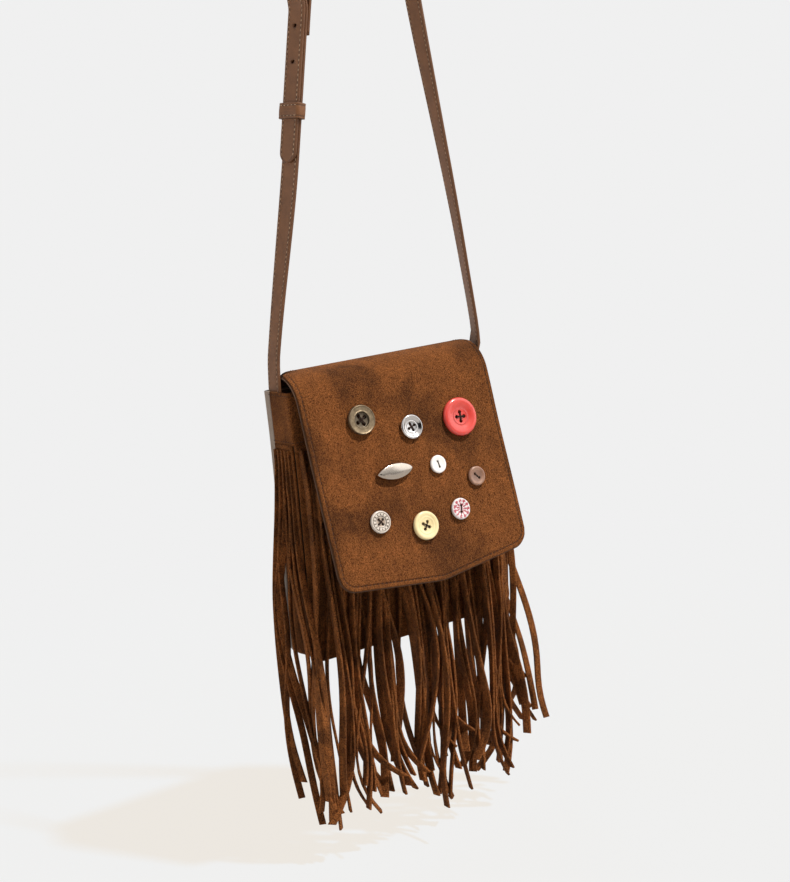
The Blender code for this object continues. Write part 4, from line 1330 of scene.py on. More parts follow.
# %% Stitch tree
def build_stitch_tree():
    w, start, end, names, curve, face = tree_for_lines("seam_stitches", "Pitch", "Length", "Thread")
    spaced = w.add("GeometryNodeResampleCurve", {"Curve": curve, "Length": start["Pitch"]}, mode="LENGTH")
    tangent = w.add("GeometryNodeInputTangent").outputs["Tangent"]
    turn = w.add("FunctionNodeAxesToRotation", {"Primary Axis": tangent, "Secondary Axis": face},
                 primary_axis="X", secondary_axis="Z")
    ball = w.add("GeometryNodeMeshUVSphere", {"Segments": 7, "Rings": 6, "Radius": 0.5})
    size = w.add("ShaderNodeCombineXYZ", {
        "X": start["Length"], "Y": start["Thread"], "Z": w.math("MULTIPLY", start["Thread"], 0.85)})
    stitches = w.add("GeometryNodeInstanceOnPoints", {
        "Points": spaced.outputs["Curve"], "Instance": ball.outputs["Mesh"],
        "Rotation": turn.outputs["Rotation"], "Scale": size.outputs["Vector"]})
    close_tree(w, start, end, stitches.outputs["Instances"])
    return w.tree, names


stitch_tree = build_stitch_tree()


def sew(name, seams, size, material):
    """Stitches of a size (pitch, length, thread) along seams, each its points and facings."""
    pitch, length, thread = size
    return run_tree(name, [seam[0] for seam in seams], [seam[1] for seam in seams], *stitch_tree, {
        "Pitch": pitch, "Length": length, "Thread": thread, "Material": material})


# %% [markdown]
# A dark thread runs round the flap, along the roll at the mouth and along the
# band's foot. Its stitches sink a little way into the nap.

# %% Topstitching on the flap and the mouth band
STITCH_SINK = 0.00005
FLAP_STITCH = (0.0032, 0.0023, 0.00075)
BAND_STITCH = (0.0032, 0.0023, 0.0007)


def flap_seam():
    points = []
    normals = []
    for u, s in flap_edge(SEAM_INSET):
        point, normal = profile_at(s)
        place = point + normal * (flap_wave(u, s) - STITCH_SINK)
        points.append(Vector((u, place.y, place.z)))
        normals.append(normal)
    return points, normals


def band_seam(z):
    points = []
    normals = []
    plan = [Vector(p) for p in mouth_plan(z, 0.0, 60)]
    for i, point in enumerate(plan):
        along = plan[min(i + 1, len(plan) - 1)] - plan[max(i - 1, 0)]
        normal = along.cross(Vector((0, 0, 1))).normalized()
        points.append(point + normal * STITCH_SINK)
        normals.append(normal)
    return points, normals


flap_stitches = sew("flap_topstitching", [flap_seam()], FLAP_STITCH, seam_thread)
settle(flap_stitches, None, "dark_thread")
bend_at_fold(flap_stitches)
band_stitches = sew("mouth_band_stitching", [band_seam(-ROLL_SEAM), band_seam(-YOKE_HEIGHT + FOOT_SEAM)],
                    BAND_STITCH, seam_thread)
settle(band_stitches, "pouch", "dark_thread")

# %% [markdown]
# The two sheets of the flap were cut flat: a rectangle with a shallow point,
# less what its rounded corners and its drawn-in crown take away.

# %% Sheets
AREA_STEPS = 400
flap_area = 0.0
for s in even_steps(-crown_length, 0.0, AREA_STEPS)[:-1]:
    left, right = flap_sides(s, 0.0)
    flap_area += (right - left) * crown_length / AREA_STEPS
for i in range(AREA_STEPS):
    u = FLAP_OFFSET - flap_half + FLAP_WIDTH * (i + 0.5) / AREA_STEPS
    flap_area += flap_foot(u, 0.0) * FLAP_WIDTH / AREA_STEPS

# %% [markdown]
# A button is turned: a profile from its foot over its rim to its middle, spun
# round its axis. Each corner also stores where it lies on the button, so that
# rings and marks in the finish can follow its shape. The holes are cut with
# the Boolean modifier and their mouths are rounded.

# %% Button finishes
def marks_of(w):
    """Distance from the button's middle as a share of its radius, the place and its angle."""
    local = kept_on_mesh(w, "local", "Vector")
    parts = w.add("ShaderNodeSeparateXYZ", {0: local}).outputs
    return kept_on_mesh(w, "share"), local, w.math("ARCTAN2", parts["Y"], parts["X"])


def plastic(name, light, dark, rough, speck=0.0, coat=0.3, ring=None):
    """Moulded resin: faint clouds, and where wanted a darker ring in the hollow as painted shade."""
    material, w, shader = start_material(name)
    share, local, _ = marks_of(w)
    colour = w.blend(w.spread(w.noise(local, 1.4, 3.0), 0.3, 0.7), dark, light)
    if speck:
        fine = w.spread(w.noise(local, 26.0, 4.0, 0.6), 0.42, 0.75)
        colour = w.blend(w.math("MULTIPLY", fine, speck), colour, dark)
    # A darker ring laid over the button's hollow is painted shade.
    if ring:
        low, high, tint = ring
        inside = w.math("MULTIPLY", w.spread(share, low, low + 0.05),
                        w.spread(share, high - 0.05, high, 1.0, 0.0))
        colour = w.blend(w.math("MULTIPLY", inside, 0.6), colour, tint)
    scuff = w.noise(local, 9.0, 5.0, 0.7)
    dress(w, shader, scuff, 0.04, 0.0003, {
        "Base Color": colour, "Roughness": w.spread(scuff, 0.3, 0.8, rough, rough + 0.12),
        "Coat Weight": coat, "Coat Roughness": 0.08})
    return material


def metal(name, light, dark, rough, dark_inside=0.0):
    """Metal with a patina that stays in the hollow and wears off the rims."""
    material, w, shader = start_material(name)
    share, local, _ = marks_of(w)
    colour = w.blend(w.spread(w.noise(local, 5.0, 5.0, 0.65), 0.3, 0.7), dark, light)
    if dark_inside:
        hollow = w.spread(share, dark_inside - 0.05, dark_inside + 0.03, 0.7, 0.0)
        colour = w.blend(hollow, colour, (0.085, 0.07, 0.055))
    fine = w.noise(local, 30.0, 4.0, 0.7)
    dress(w, shader, fine, 0.05, 0.0002, {
        "Base Color": colour, "Metallic": 1.0, "Roughness": w.spread(fine, 0.3, 0.8, rough, rough + 0.15)})
    return material


def ringed_enamel(name):
    """White enamel with bronze in the turned grooves, and a plain row of dots."""
    material, w, shader = start_material(name)
    share, local, angle = marks_of(w)

    def band(middle, full, wide):
        away = w.math("ABSOLUTE", w.math("SUBTRACT", share, middle))
        return w.spread(away, full, wide, 1.0, 0.0)

    rings = w.math("MAXIMUM", band(0.82, 0.03, 0.05), band(0.52, 0.036, 0.06))
    dots = w.spread(w.math("SINE", w.math("MULTIPLY", angle, 14.0)), -0.2, 0.3)
    marked = w.math("MAXIMUM", w.math("MULTIPLY", dots, band(0.68, 0.07, 0.10)), rings)
    worn = w.spread(w.noise(local, 7.0, 4.0), 0.35, 0.6)
    marked = w.math("MULTIPLY", marked, w.math("MULTIPLY_ADD", worn, 0.5, 0.5))
    colour = w.blend(marked, (0.74, 0.66, 0.57), (0.10, 0.065, 0.042))
    colour = w.blend(w.spread(share, 0.38, 0.46, 0.85, 0.0), colour, (0.38, 0.27, 0.19))
    dress(w, shader, w.math("MULTIPLY", marked, -1.0), 0.3, 0.0002, {
        "Base Color": colour, "Roughness": w.spread(marked, 0.0, 1.0, 0.28, 0.5), "Coat Weight": 0.3})
    return material


def brushed_petals(name):
    """White resin with rosy strokes that run out from the middle."""
    material, w, shader = start_material(name)
    share, local, angle = marks_of(w)
    polar = w.add("ShaderNodeCombineXYZ", {
        "X": w.math("MULTIPLY", angle, 1.6), "Y": w.math("MULTIPLY", share, 2.6)}).outputs[0]
    wander = w.noise(polar, 2.2, 1.0, 0.5)
    spokes = w.math("SINE", w.math("MULTIPLY_ADD", angle, 11.0, w.math("MULTIPLY", wander, 7.0)))
    rings = w.math("SINE", w.math("MULTIPLY_ADD", share, 15.0, w.math("MULTIPLY", wander, 6.0)))
    strokes = w.math("MULTIPLY_ADD", rings, 0.55, spokes)
    edge = w.spread(share, 0.84, 0.94, 1.0, 0.0)
    ink = w.math("MULTIPLY", w.spread(strokes, -0.30, 0.10), edge)
    hue = w.spread(w.noise(local, 3.0), 0.35, 0.65)
    rosy = w.blend(hue, (0.36, 0.030, 0.055), (0.55, 0.12, 0.15))
    dress(w, shader, ink, 0.05, 0.0003, {
        "Base Color": w.blend(ink, (0.80, 0.75, 0.74), rosy), "Roughness": 0.3, "Coat Weight": 0.3})
    return material


# %% [markdown]
# Each button's profile is a short list of steps: how far out, as a share of
# its radius, and how high, in millimetres.

# %% Button profiles
BUTTON_PROFILES = {
    "brass": ((0.90, 0.0), (0.98, 0.5), (1.0, 1.3), (0.995, 2.3), (0.975, 3.0), (0.945, 3.35),
              (0.91, 3.3), (0.88, 3.05), (0.84, 2.95), (0.62, 2.75), (0.585, 2.95), (0.555, 2.95),
              (0.53, 2.7), (0.505, 1.7), (0.46, 1.4), (0.0, 1.3)),
    "steel": ((0.90, 0.0), (0.98, 0.6), (1.0, 1.5), (0.985, 2.3), (0.945, 2.8), (0.89, 3.0),
              (0.82, 2.85), (0.72, 2.3), (0.62, 1.85), (0.53, 1.7), (0.49, 1.8), (0.46, 1.75),
              (0.42, 1.5), (0.0, 1.4)),
    "red": ((0.88, 0.0), (0.97, 0.7), (1.0, 1.8), (0.985, 2.9), (0.945, 3.7), (0.88, 4.1),
            (0.80, 4.2), (0.70, 4.0), (0.60, 3.55), (0.52, 3.15), (0.46, 2.95), (0.42, 3.05),
            (0.39, 3.0), (0.34, 2.75), (0.0, 2.65)),
    "white": ((0.86, 0.0), (0.97, 0.6), (1.0, 1.4), (0.97, 2.1), (0.90, 2.5), (0.80, 2.6),
              (0.68, 2.45), (0.55, 2.2), (0.0, 2.05)),
    "taupe": ((0.86, 0.0), (0.97, 0.6), (1.0, 1.3), (0.975, 2.0), (0.91, 2.5), (0.82, 2.6),
              (0.70, 2.3), (0.52, 1.9), (0.0, 1.7)),
    "ringed": ((0.88, 0.0), (0.98, 0.6), (1.0, 1.5), (0.98, 2.3), (0.93, 2.7), (0.88, 2.8),
               (0.85, 2.6), (0.81, 2.6), (0.78, 2.75), (0.58, 2.65), (0.55, 2.4), (0.51, 2.4),
               (0.48, 2.2), (0.42, 1.95), (0.0, 1.85)),
    "cream": ((0.88, 0.0), (0.98, 0.7), (1.0, 1.7), (0.98, 2.7), (0.93, 3.2), (0.86, 3.4),
              (0.77, 3.3), (0.69, 3.0), (0.655, 2.85), (0.62, 2.9), (0.57, 2.85), (0.49, 2.5),
              (0.41, 2.35), (0.0, 2.25)),
    "pink": ((0.88, 0.0), (0.98, 0.6), (1.0, 1.4), (0.97, 2.2), (0.90, 2.55), (0.80, 2.6),
             (0.66, 2.5), (0.45, 2.3), (0.0, 2.2))}
HOLE_PLACE = 0.16
HOLE_SIZE = 0.07
HOLE_SHARES = {"red": 0.72, "steel": 0.9, "cream": 0.86, "ringed": 0.95}

button_finishes = {
    "brass": metal("aged_brass_button", (0.28, 0.212, 0.136), (0.14, 0.104, 0.065), 0.44, 0.55),
    "steel": metal("polished_steel_button", (0.60, 0.575, 0.555), (0.50, 0.47, 0.45), 0.10),
    "red": plastic("red_button_resin", (0.755, 0.073, 0.053), (0.66, 0.052, 0.038), 0.18, 0.0, 0.4,
                   (0.38, 0.50, (0.42, 0.030, 0.025))),
    "white": plastic("white_button_resin", (0.99, 0.94, 0.90), (0.95, 0.89, 0.84), 0.25, 0.2, 0.3),
    "taupe": plastic("taupe_button_resin", (0.40, 0.215, 0.138), (0.21, 0.105, 0.064), 0.28, 0.3, 0.35,
                     (-0.1, 0.62, (0.20, 0.11, 0.075))),
    "ringed": ringed_enamel("ringed_button_enamel"),
    "cream": plastic("cream_button_resin", (0.96, 0.81, 0.455), (0.88, 0.70, 0.355), 0.2, 0.1, 0.4),
    "pink": brushed_petals("pink_button_resin")}
print(len(button_finishes), "button finishes")

# %% [markdown]
# Each profile is spun round the button's axis, its holes are bored, and the
# button is set on the flap with its own turn.

# %% Buttons
BUTTON_STAND = 0.00035
BORE_DEPTH = 0.02
MOUTH_ROUND = 0.009


def flap_frame(across, down, lift=FIT):
    """Matrix of a place on the flap: X across, Y up the flap, Z out of it."""
    turn = Matrix((Vector((1, 0, 0)), -flap_down, flap_out)).transposed()
    u = FLAP_OFFSET + across
    place = bend_end + flap_down * down + flap_out * (lift + flap_wave(u, down) + BUTTON_STAND)
    place.x = u
    return Matrix.Translation(place) @ turn.to_4x4()


def rounded_profile(steps):
    """A denser profile: short straight pieces with softened corners."""
    points = [Vector((r, z, 0)) for r, z in steps]
    for _ in range(2):
        finer = [points[0]]
        for before, after in zip(points, points[1:]):
            finer += [before.lerp(after, 0.25), before.lerp(after, 0.75)]
        points = finer + [points[-1]]
    return points


def store_marks(mesh, radius):
    store(mesh, "share", [math.hypot(v.co.x, v.co.y) / radius for v in mesh.vertices])
    store(mesh, "local", [v.co / radius for v in mesh.vertices])


def hole_spots(name):
    size, _, _, holes, turn = BUTTON_PLACES[name]
    reach = size * HOLE_PLACE * HOLE_SHARES.get(name, 1.0)
    spots = []
    for i in range(holes):
        angle = math.radians(turn) + 2 * math.pi * i / holes
        spots.append(Vector((reach * math.cos(angle), reach * math.sin(angle), 0)))
    return spots


def make_button(name, segments=80):
    size, across, down, _, _ = BUTTON_PLACES[name]
    radius = size / 2
    rings = []
    for point in rounded_profile(BUTTON_PROFILES[name])[:-1]:
        r, z = point.x * radius, point.y / 1000
        rings.append([Vector((r * cosine, r * sine, z)) for cosine, sine in arc(segments, 2 * math.pi)[:-1]])
    button = link_mesh("button_" + name + "_turned", skin(name, rings), button_finishes[name])
    bores = bmesh.new()
    for spot in hole_spots(name):
        add_rod(bores, size * HOLE_SIZE * HOLE_SHARES.get(name, 1.0), BORE_DEPTH, Matrix.Translation(spot))
    cut_with(button, bores)
    round_edges(button, size * MOUTH_ROUND, 2, 60)
    finish_modifiers(button)
    store_marks(button.data, radius)
    button.matrix_world = flap_frame(across, down)
    paint(button, button_finishes[name])
    slots = {"brass": "aged_brass", "steel": "polished_steel"}
    return settle(button, "flap", slots.get(name, name + "_button"), "button_" + name)


for name in BUTTON_PLACES:
    make_button(name)

# %% [markdown]
# Thread holds each button: a few strands that come up through one hole, cross
# the middle and go down through the one opposite. They use the strip tree with
# a section that is nearly round.

# %% Sewing thread of the buttons
STRANDS = 3
THREAD_DIVE = 0.0022
THREAD_SHARE = 0.022


def make_button_thread(name):
    size, across, down, holes, _ = BUTTON_PLACES[name]
    floor = BUTTON_PROFILES[name][-1][1] / 1000
    spots = hole_spots(name)
    frame_matrix = flap_frame(across, down)
    face = (frame_matrix.to_3x3() @ Vector((0, 0, 1))).normalized()
    lines = []
    chance = random.Random(len(name) + holes)
    thread = size * THREAD_SHARE * HOLE_SHARES.get(name, 1.0)
    for pair in range(holes // 2):
        first, second = spots[pair], spots[pair + holes // 2]
        side = (second - first).cross(Vector((0, 0, 1))).normalized()
        for strand in range(STRANDS):
            shift = (strand - (STRANDS - 1) / 2) * thread * 0.85
            rise = thread * (0.9 + pair * 0.9 + chance.uniform(0, 0.4))
            line = []
            for share in even_steps(0.0, 1.0, 14):
                spread = math.sin(math.pi * share)
                point = first.lerp(second, smooth_step(share, 0.12, 0.88))
                point += side * shift * (0.5 + 0.5 * spread)
                point.z = floor + rise * min(1.0, 2.2 * spread) - THREAD_DIVE * fade(spread, 0.0, 0.42)
                line.append(frame_matrix @ point)
            lines.append(line)
    piece = sweep_lines("button_" + name + "_thread", lines, [[face] * len(line) for line in lines],
                        thread, thread, thread * 0.45, button_thread)
    return settle(piece, "flap", "dark_thread", "thread_" + name)


for name in BUTTON_PLACES:
    make_button_thread(name)

# %% [markdown]
# One fastening is a polished metal stud, a pointed oval like a leaf. Two arcs
# make its outline, and rings of that outline, each smaller and higher, make the
# domed face.

# %% Oval stud
STUD_STEPS = ((0.98, 0.0), (1.0, 0.05), (1.0, 0.22), (0.985, 0.42), (0.955, 0.60), (0.91, 0.73),
              (0.86, 0.79), (0.80, 0.81), (0.72, 0.85), (0.58, 0.92), (0.40, 0.97), (0.16, 1.0))


def stud_outline(share, height):
    side = []
    for cosine, _ in arc(24, math.pi)[:-1]:
        rest = 1 - cosine * cosine
        bow = STUD_WIDTH / 2 * (0.35 * rest + 0.65 * math.sqrt(rest))
        side.append((-STUD_LENGTH / 2 * cosine * share, bow * share))
    return [Vector((x, y, height * STUD_HEIGHT)) for x, y in side + [(-x, -y) for x, y in side]]


def make_stud():
    finish = metal("polished_stud", (0.485, 0.42, 0.355), (0.43, 0.375, 0.32), 0.10)
    mesh = skin("stud", [stud_outline(share, height) for share, height in STUD_STEPS])
    store_marks(mesh, STUD_LENGTH / 2)
    stud = link_mesh("oval_stud_polished", mesh, finish)
    stud.matrix_world = flap_frame(*STUD_PLACE) @ Matrix.Rotation(STUD_TURN, 4, "Z")
    return settle(stud, "flap", "polished_steel", "stud_oval")


make_stud()

# %% [markdown]
# The straps follow one route: up from the left side, over the hook and down to
# the right side, in straight runs and bends. The strap also turns a little
# about its own length on the left, where the hand that hung it let it settle.

# %% Strap route
STRAP_WIDTH = 0.015
STRAP_SEWN = 0.030
STRAP_RISE = 0.5077
CROWN_SHIFT = 0.0356
CROWN_BORE = 0.012
BASE_BEND = 0.050
TWIST = math.radians(17.0)
TWIST_START = 0.045
TWIST_FULL = 0.185
TWIST_EASE = 0.350
TWIST_END = 0.470
LEFT_LEAN_LOW = 0.0070
LEFT_LEAN = 0.0045
LEFT_HELD = 0.0043
RIGHT_LEAN = 0.010
RIGHT_PUSH = 0.004
RIGHT_PUSH_LOW = 0.0004
RIGHT_TURN_LOW = math.radians(19.0)
RIGHT_TURN_HIGH = math.radians(-13.0)
TIP_PLACE = 0.190
BAR_PLACE = 0.309
TURN_BACK = 0.030
FOLD_SPREAD = 0.014
FOLD_END = 0.002
DIVE_START = 0.003
DIVE_END = 0.0155
EASE_START = 0.003
EASE_END = 0.018
HOLE_RADIUS = 0.0015
HOLE_PITCH = 0.025
HOLE_COUNT = 5
FIRST_HOLE = 0.070
WIRE_RADIUS = 0.0013
FRAME_LENGTH = 0.020
FRAME_SIDE_ROOM = 0.0010
FRAME_CORNER = 0.003
PRONG_RADIUS = 0.0009
PRONG_OVERHANG = 0.0025
PRONG_SLOT = 0.0015
KEEPER_PLACE = 0.226
KEEPER_HEIGHT = 0.011
KEEPER_THICKNESS = 0.0018
KEEPER_ROUND = 0.0008
KEEPER_ROOM = 0.0004
print("strap", STRAP_WIDTH, "wide, hung", STRAP_RISE, "above the mouth")

# %% [markdown]
# A route is a list of runs, each with its start, its heading and, for a bend,
# its radius. It gives the place and heading at any length along it.

# %% Runs and bends
class Route:
    """The strap's middle line: straight runs and clockwise bends in the XZ plane."""

    def __init__(self, start, heading):
        self.point = Vector(start)
        self.heading = heading
        self.runs = []
        self.length = 0.0

    def straight(self, length):
        self.runs.append((self.length, self.point.copy(), self.heading, None))
        self.point += length * Vector((math.cos(self.heading), math.sin(self.heading)))
        self.length += length

    def bend(self, radius, turn):
        self.runs.append((self.length, self.point.copy(), self.heading, radius))
        hub = self.point + radius * Vector((math.sin(self.heading), -math.cos(self.heading)))
        self.heading -= turn
        self.point = hub - radius * Vector((math.sin(self.heading), -math.cos(self.heading)))
        self.length += radius * turn

    def at(self, along):
        begin, point, heading, radius = [run for run in self.runs if run[0] <= max(along, 0.0)][-1]
        if radius is None:
            return point + (along - begin) * Vector((math.cos(heading), math.sin(heading))), heading
        hub = point + radius * Vector((math.sin(heading), -math.cos(heading)))
        heading -= (along - begin) / radius
        return hub - radius * Vector((math.sin(heading), -math.cos(heading))), heading


# %% [markdown]
# Each side leaves the pouch upright, bends towards the hook, and touches the
# round of the crown as a tangent.

# %% Route over the hook
strap_foot = gusset_half - PANEL - FIT - STRAP_THICKNESS / 2
hook = Vector((CROWN_SHIFT, STRAP_RISE - CROWN_BORE))
crown_radius = CROWN_BORE + STRAP_THICKNESS / 2


def tangent_from(foot, side):
    arm = hook - Vector((foot, 0.0))
    heading = math.atan2(arm.y, arm.x) + side * math.asin(crown_radius / arm.length)
    return heading, math.sqrt(arm.length ** 2 - crown_radius ** 2)


left_heading, left_run = tangent_from(-strap_foot, 1)
right_heading, right_run = tangent_from(strap_foot, -1)
left_turn = math.pi / 2 - left_heading
right_turn = right_heading - math.pi / 2
left_trim = BASE_BEND * math.tan(left_turn / 2)
right_trim = BASE_BEND * math.tan(right_turn / 2)
route = Route((-strap_foot, -STRAP_SEWN), math.pi / 2)
route.straight(STRAP_SEWN - left_trim)
route.bend(BASE_BEND, left_turn)
route.straight(left_run - left_trim)
route.bend(crown_radius, left_heading - right_heading + math.pi)
route.straight(right_run - right_trim)
route.bend(BASE_BEND, right_turn)
route.straight(STRAP_SEWN - right_trim)
print("strap route", round(route.length, 3), "m")

# %% [markdown]
# The real strap doesn't keep to one plane. It turns about its own length, and
# leans forward or back, and each of these starts and ends softly along it.

# %% Lean and turn of the strap
def strap_axes(along):
    """Centre, direction, outer normal and width axis at metres along the strap."""
    point, heading = route.at(along)
    direction = Vector((math.cos(heading), 0, math.sin(heading)))
    outward = Vector((-math.sin(heading), 0, math.cos(heading)))
    across = Vector((0, 1, 0))
    above = route.length - STRAP_SEWN - along
    turn = TWIST * (smooth_step(along, TWIST_START, TWIST_FULL) - smooth_step(along, TWIST_EASE, TWIST_END))
    turn += RIGHT_TURN_LOW * smooth_step(above, 0.0, 0.02) * fade(above, 0.03, 0.26)
    turn += RIGHT_TURN_HIGH * smooth_step(above, 0.15, 0.33) * fade(above, 0.36, 0.47)
    lean = LEFT_LEAN_LOW * fade(along, 0.05, 0.20) + LEFT_LEAN * fade(along, 0.345, 0.50)
    lean -= LEFT_HELD * fade(along, 0.026, 0.055) + RIGHT_LEAN * fade(above, 0.03, 0.30)
    push = RIGHT_PUSH * fade(above, 0.08, 0.40) + RIGHT_PUSH_LOW * fade(above, 0.022, 0.07)
    push *= smooth_step(above, -0.003, 0.022)
    normal = math.cos(turn) * outward - math.sin(turn) * across
    width = math.cos(turn) * across + math.sin(turn) * outward
    return Vector((point.x + push, lean, point.y)), direction, normal, width


def strap_matrix(along, lift=0.0):
    point, direction, normal, width = strap_axes(along)
    turn = Matrix((-width, direction, normal)).transposed()
    return Matrix.Translation(point + normal * lift) @ turn.to_4x4()


# %% [markdown]
# A strap's section is a flat bar with rounded edges and a shallow groove where its seam runs. Rings of that
# section follow the route; a value on each corner keeps the distance from the nearest edge, for the dark
# burnished rim and for painted shade along the seam's groove.

# %% Strap section
layer = STRAP_THICKNESS + FIT
bar_clear = WIRE_RADIUS + FIT + STRAP_THICKNESS / 2
frame_top = BAR_PLACE + FRAME_LENGTH
fold_steps = [BAR_PLACE - FOLD_SPREAD * share for share in (0.84, 0.68, 0.52, 0.36, 0.22)]


def fold_share(along):
    return smooth_step(along, BAR_PLACE - FOLD_SPREAD, BAR_PLACE - FOLD_END)


def short_lift(along):
    return bar_clear * fold_share(along)


def long_lift(along):
    outside = layer + short_lift(along)
    dive = smooth_step(along, BAR_PLACE + DIVE_START, BAR_PLACE + DIVE_END)
    ease = smooth_step(along, frame_top + EASE_START, frame_top + EASE_END)
    return outside * (1 - dive) - bar_clear * dive * (1 - ease)


def ribbon_frames(line):
    """Centre, width axis and outward normal at each (along, lift) of a strap."""
    centres = []
    for along, lift in line:
        point, _, normal, width = strap_axes(along)
        centres.append((point + normal * lift, width))
    frames = []
    for i, (centre, width) in enumerate(centres):
        before = centres[max(i - 1, 0)][0]
        after = centres[min(i + 1, len(centres) - 1)][0]
        normal = width.cross((after - before).normalized()).normalized()
        frames.append((centre, width, normal))
    return frames


def strap_section(half):
    """Points (across, out, distance from edge) round a strap's section."""
    thick = STRAP_THICKNESS / 2
    soft = min(0.0007, half * 0.5)
    seam = min(STRAP_SEAM, half * 0.6)
    inner = half - soft
    upper = [(inner + soft * cosine, thick - soft + soft * sine) for cosine, sine in arc(4)]
    for x, dip in ((half - seam + 0.0004, 0.0), (half - seam, 0.00013), (half - seam - 0.0004, 0.0),
                   (inner * 0.45, -0.00004), (0.0, -0.00008)):
        upper.append((min(x, inner), thick - dip))
    top = upper + [(-x, z) for x, z in reversed(upper[:-1])]
    ring = top + [(x, -z) for x, z in reversed(top)]
    return [(x, z, half - abs(x)) for x, z in ring]


def strap_mesh(name, frames, halves):
    rings = []
    reaches = []
    for (centre, width, normal), half in zip(frames, halves):
        section = strap_section(half)
        rings.append([centre + width * x + normal * z for x, z, _ in section])
        reaches += [reach for _, _, reach in section]
    mesh = skin(name, rings)
    store(mesh, "edge", reaches)
    return link_mesh(name, mesh, strap_leather)


# %% [markdown]
# Two seams run along each strap, near its edges, and show on both faces.

# %% Strap seams
STRAP_STITCH = (0.0034, 0.0019, 0.00075)
HIDDEN_SHARE = 0.6


def seam_lines(frames, halves, face, start, stop):
    """Two lines of stitches along a strap, on its outer or inner face."""
    seams = []
    for side in (-1, 1):
        line = []
        facing = []
        for (centre, width, normal), half in list(zip(frames, halves))[start:stop]:
            out = face * (STRAP_THICKNESS / 2 - STITCH_SINK)
            line.append(centre + width * side * (half - STRAP_SEAM) + normal * out)
            facing.append(normal * face)
        seams.append((line, facing))
    return seams


def sew_strap(name, seams):
    settle(sew(name, seams, STRAP_STITCH, strap_thread), "pouch", "strap_leather")


# %% [markdown]
# The short length rises from the left side, folds round the buckle's bar and
# turns back on itself. A slot in the fold lets the prong through.

# %% Short strap
def make_short_strap():
    bend_start, bend_stop = route.runs[1][0], route.runs[2][0]
    stops = even_steps(0.0, bend_start, 3) + even_steps(bend_start, bend_stop, 6)[1:]
    stops += even_steps(bend_stop, TWIST_FULL, 24)[1:]
    stops += even_steps(TWIST_FULL, BAR_PLACE - FOLD_SPREAD, 16)[1:] + fold_steps
    line = [(along, short_lift(along)) for along in stops]
    line += [(BAR_PLACE + bar_clear * sine, bar_clear * cosine) for cosine, sine in arc(16, math.pi)]
    back = [*reversed(fold_steps)] + even_steps(BAR_PLACE - FOLD_SPREAD, BAR_PLACE - TURN_BACK, 5)
    for along in back:
        line.append((along, -layer + fold_share(along) * (layer - bar_clear)))
    frames = ribbon_frames(line)
    halves = [STRAP_WIDTH / 2] * len(frames)
    strap = strap_mesh("strap_short_leather", frames, halves)
    slot = bmesh.new()
    bmesh.ops.create_cube(slot, size=1.0)
    place = strap_matrix(BAR_PLACE) @ Matrix.Diagonal((2 * PRONG_SLOT, FOLD_SPREAD, FOLD_SPREAD, 1))
    bmesh.ops.transform(slot, matrix=place, verts=slot.verts)
    cut_with(strap, slot)
    settle(strap, "pouch", "strap_leather", "strap_short")
    sew_strap("strap_short_stitching", seam_lines(frames, halves, 1, 4, len(stops))
              + seam_lines(frames, halves, -1, 4, len(stops) - len(fold_steps) - 6))


make_short_strap()

# %% [markdown]
# The long length starts with its rounded tip, runs on the short one, dives
# through the buckle and over the prong, and then follows the route over the
# crown to the right side. Five holes are punched near its tip.

# %% Long strap
hole_places = [TIP_PLACE + FIRST_HOLE + HOLE_PITCH * i for i in range(HOLE_COUNT)]


def make_long_strap():
    tip = STRAP_WIDTH / 2
    line = []
    halves = []
    for share in (0.01, 0.05, 0.12, 0.22, 0.36, 0.55, 0.78, 1.0):
        along = TIP_PLACE + tip * share
        line.append((along, long_lift(along)))
        halves.append(tip * math.sqrt(1 - (1 - share) ** 2))
    stops = even_steps(TIP_PLACE + 1.3 * tip, BAR_PLACE - FOLD_SPREAD, 26)
    stops += [*fold_steps, BAR_PLACE - FOLD_END / 2]
    stops += even_steps(BAR_PLACE + DIVE_START, BAR_PLACE + DIVE_END, 14)
    stops += even_steps(frame_top + EASE_START, frame_top + EASE_END, 8)
    crown_start, crown_end, bend_start, bend_stop = (run[0] for run in route.runs[3:7])
    stops += even_steps(frame_top + EASE_END, crown_start, 40)[1:-1]
    stops += even_steps(crown_start, crown_end, 32)
    stops += even_steps(crown_end, bend_start, 60)[1:]
    stops += even_steps(bend_start, bend_stop, 6)[1:] + even_steps(bend_stop, route.length, 3)[1:]
    line += [(along, long_lift(along)) for along in stops]
    halves += [STRAP_WIDTH / 2] * len(stops)
    frames = ribbon_frames(line)
    strap = strap_mesh("strap_long_leather", frames, halves)
    punches = bmesh.new()
    for place in hole_places:
        if abs(place - BAR_PLACE) >= FRAME_LENGTH:
            add_rod(punches, HOLE_RADIUS, 4 * STRAP_THICKNESS, strap_matrix(place, long_lift(place)))
    ring = WIRE_RADIUS + FIT + PRONG_RADIUS
    room = FRAME_LENGTH + 2 * PRONG_OVERHANG
    channel = Matrix.Translation((0, room / 2, 0)) @ Matrix.Rotation(math.pi / 2, 4, "X")
    add_rod(punches, PRONG_RADIUS + FIT, room, strap_matrix(BAR_PLACE, ring) @ channel)
    cut_with(strap, punches)
    settle(strap, "pouch", "strap_leather", "strap_long")
    hidden = next(i for i, (along, _) in enumerate(line) if along > route.length - HIDDEN_SHARE * STRAP_SEWN)
    sew_strap("strap_long_stitching", seam_lines(frames, halves, 1, 6, hidden)
              + seam_lines(frames, halves, -1, 6, hidden))


make_long_strap()

# %% [markdown]
# The buckle is bent from round wire: a closed frame, and a prong that curls
# round the lower bar and rests on the upper one. Both are rings swept along a
# list of points.

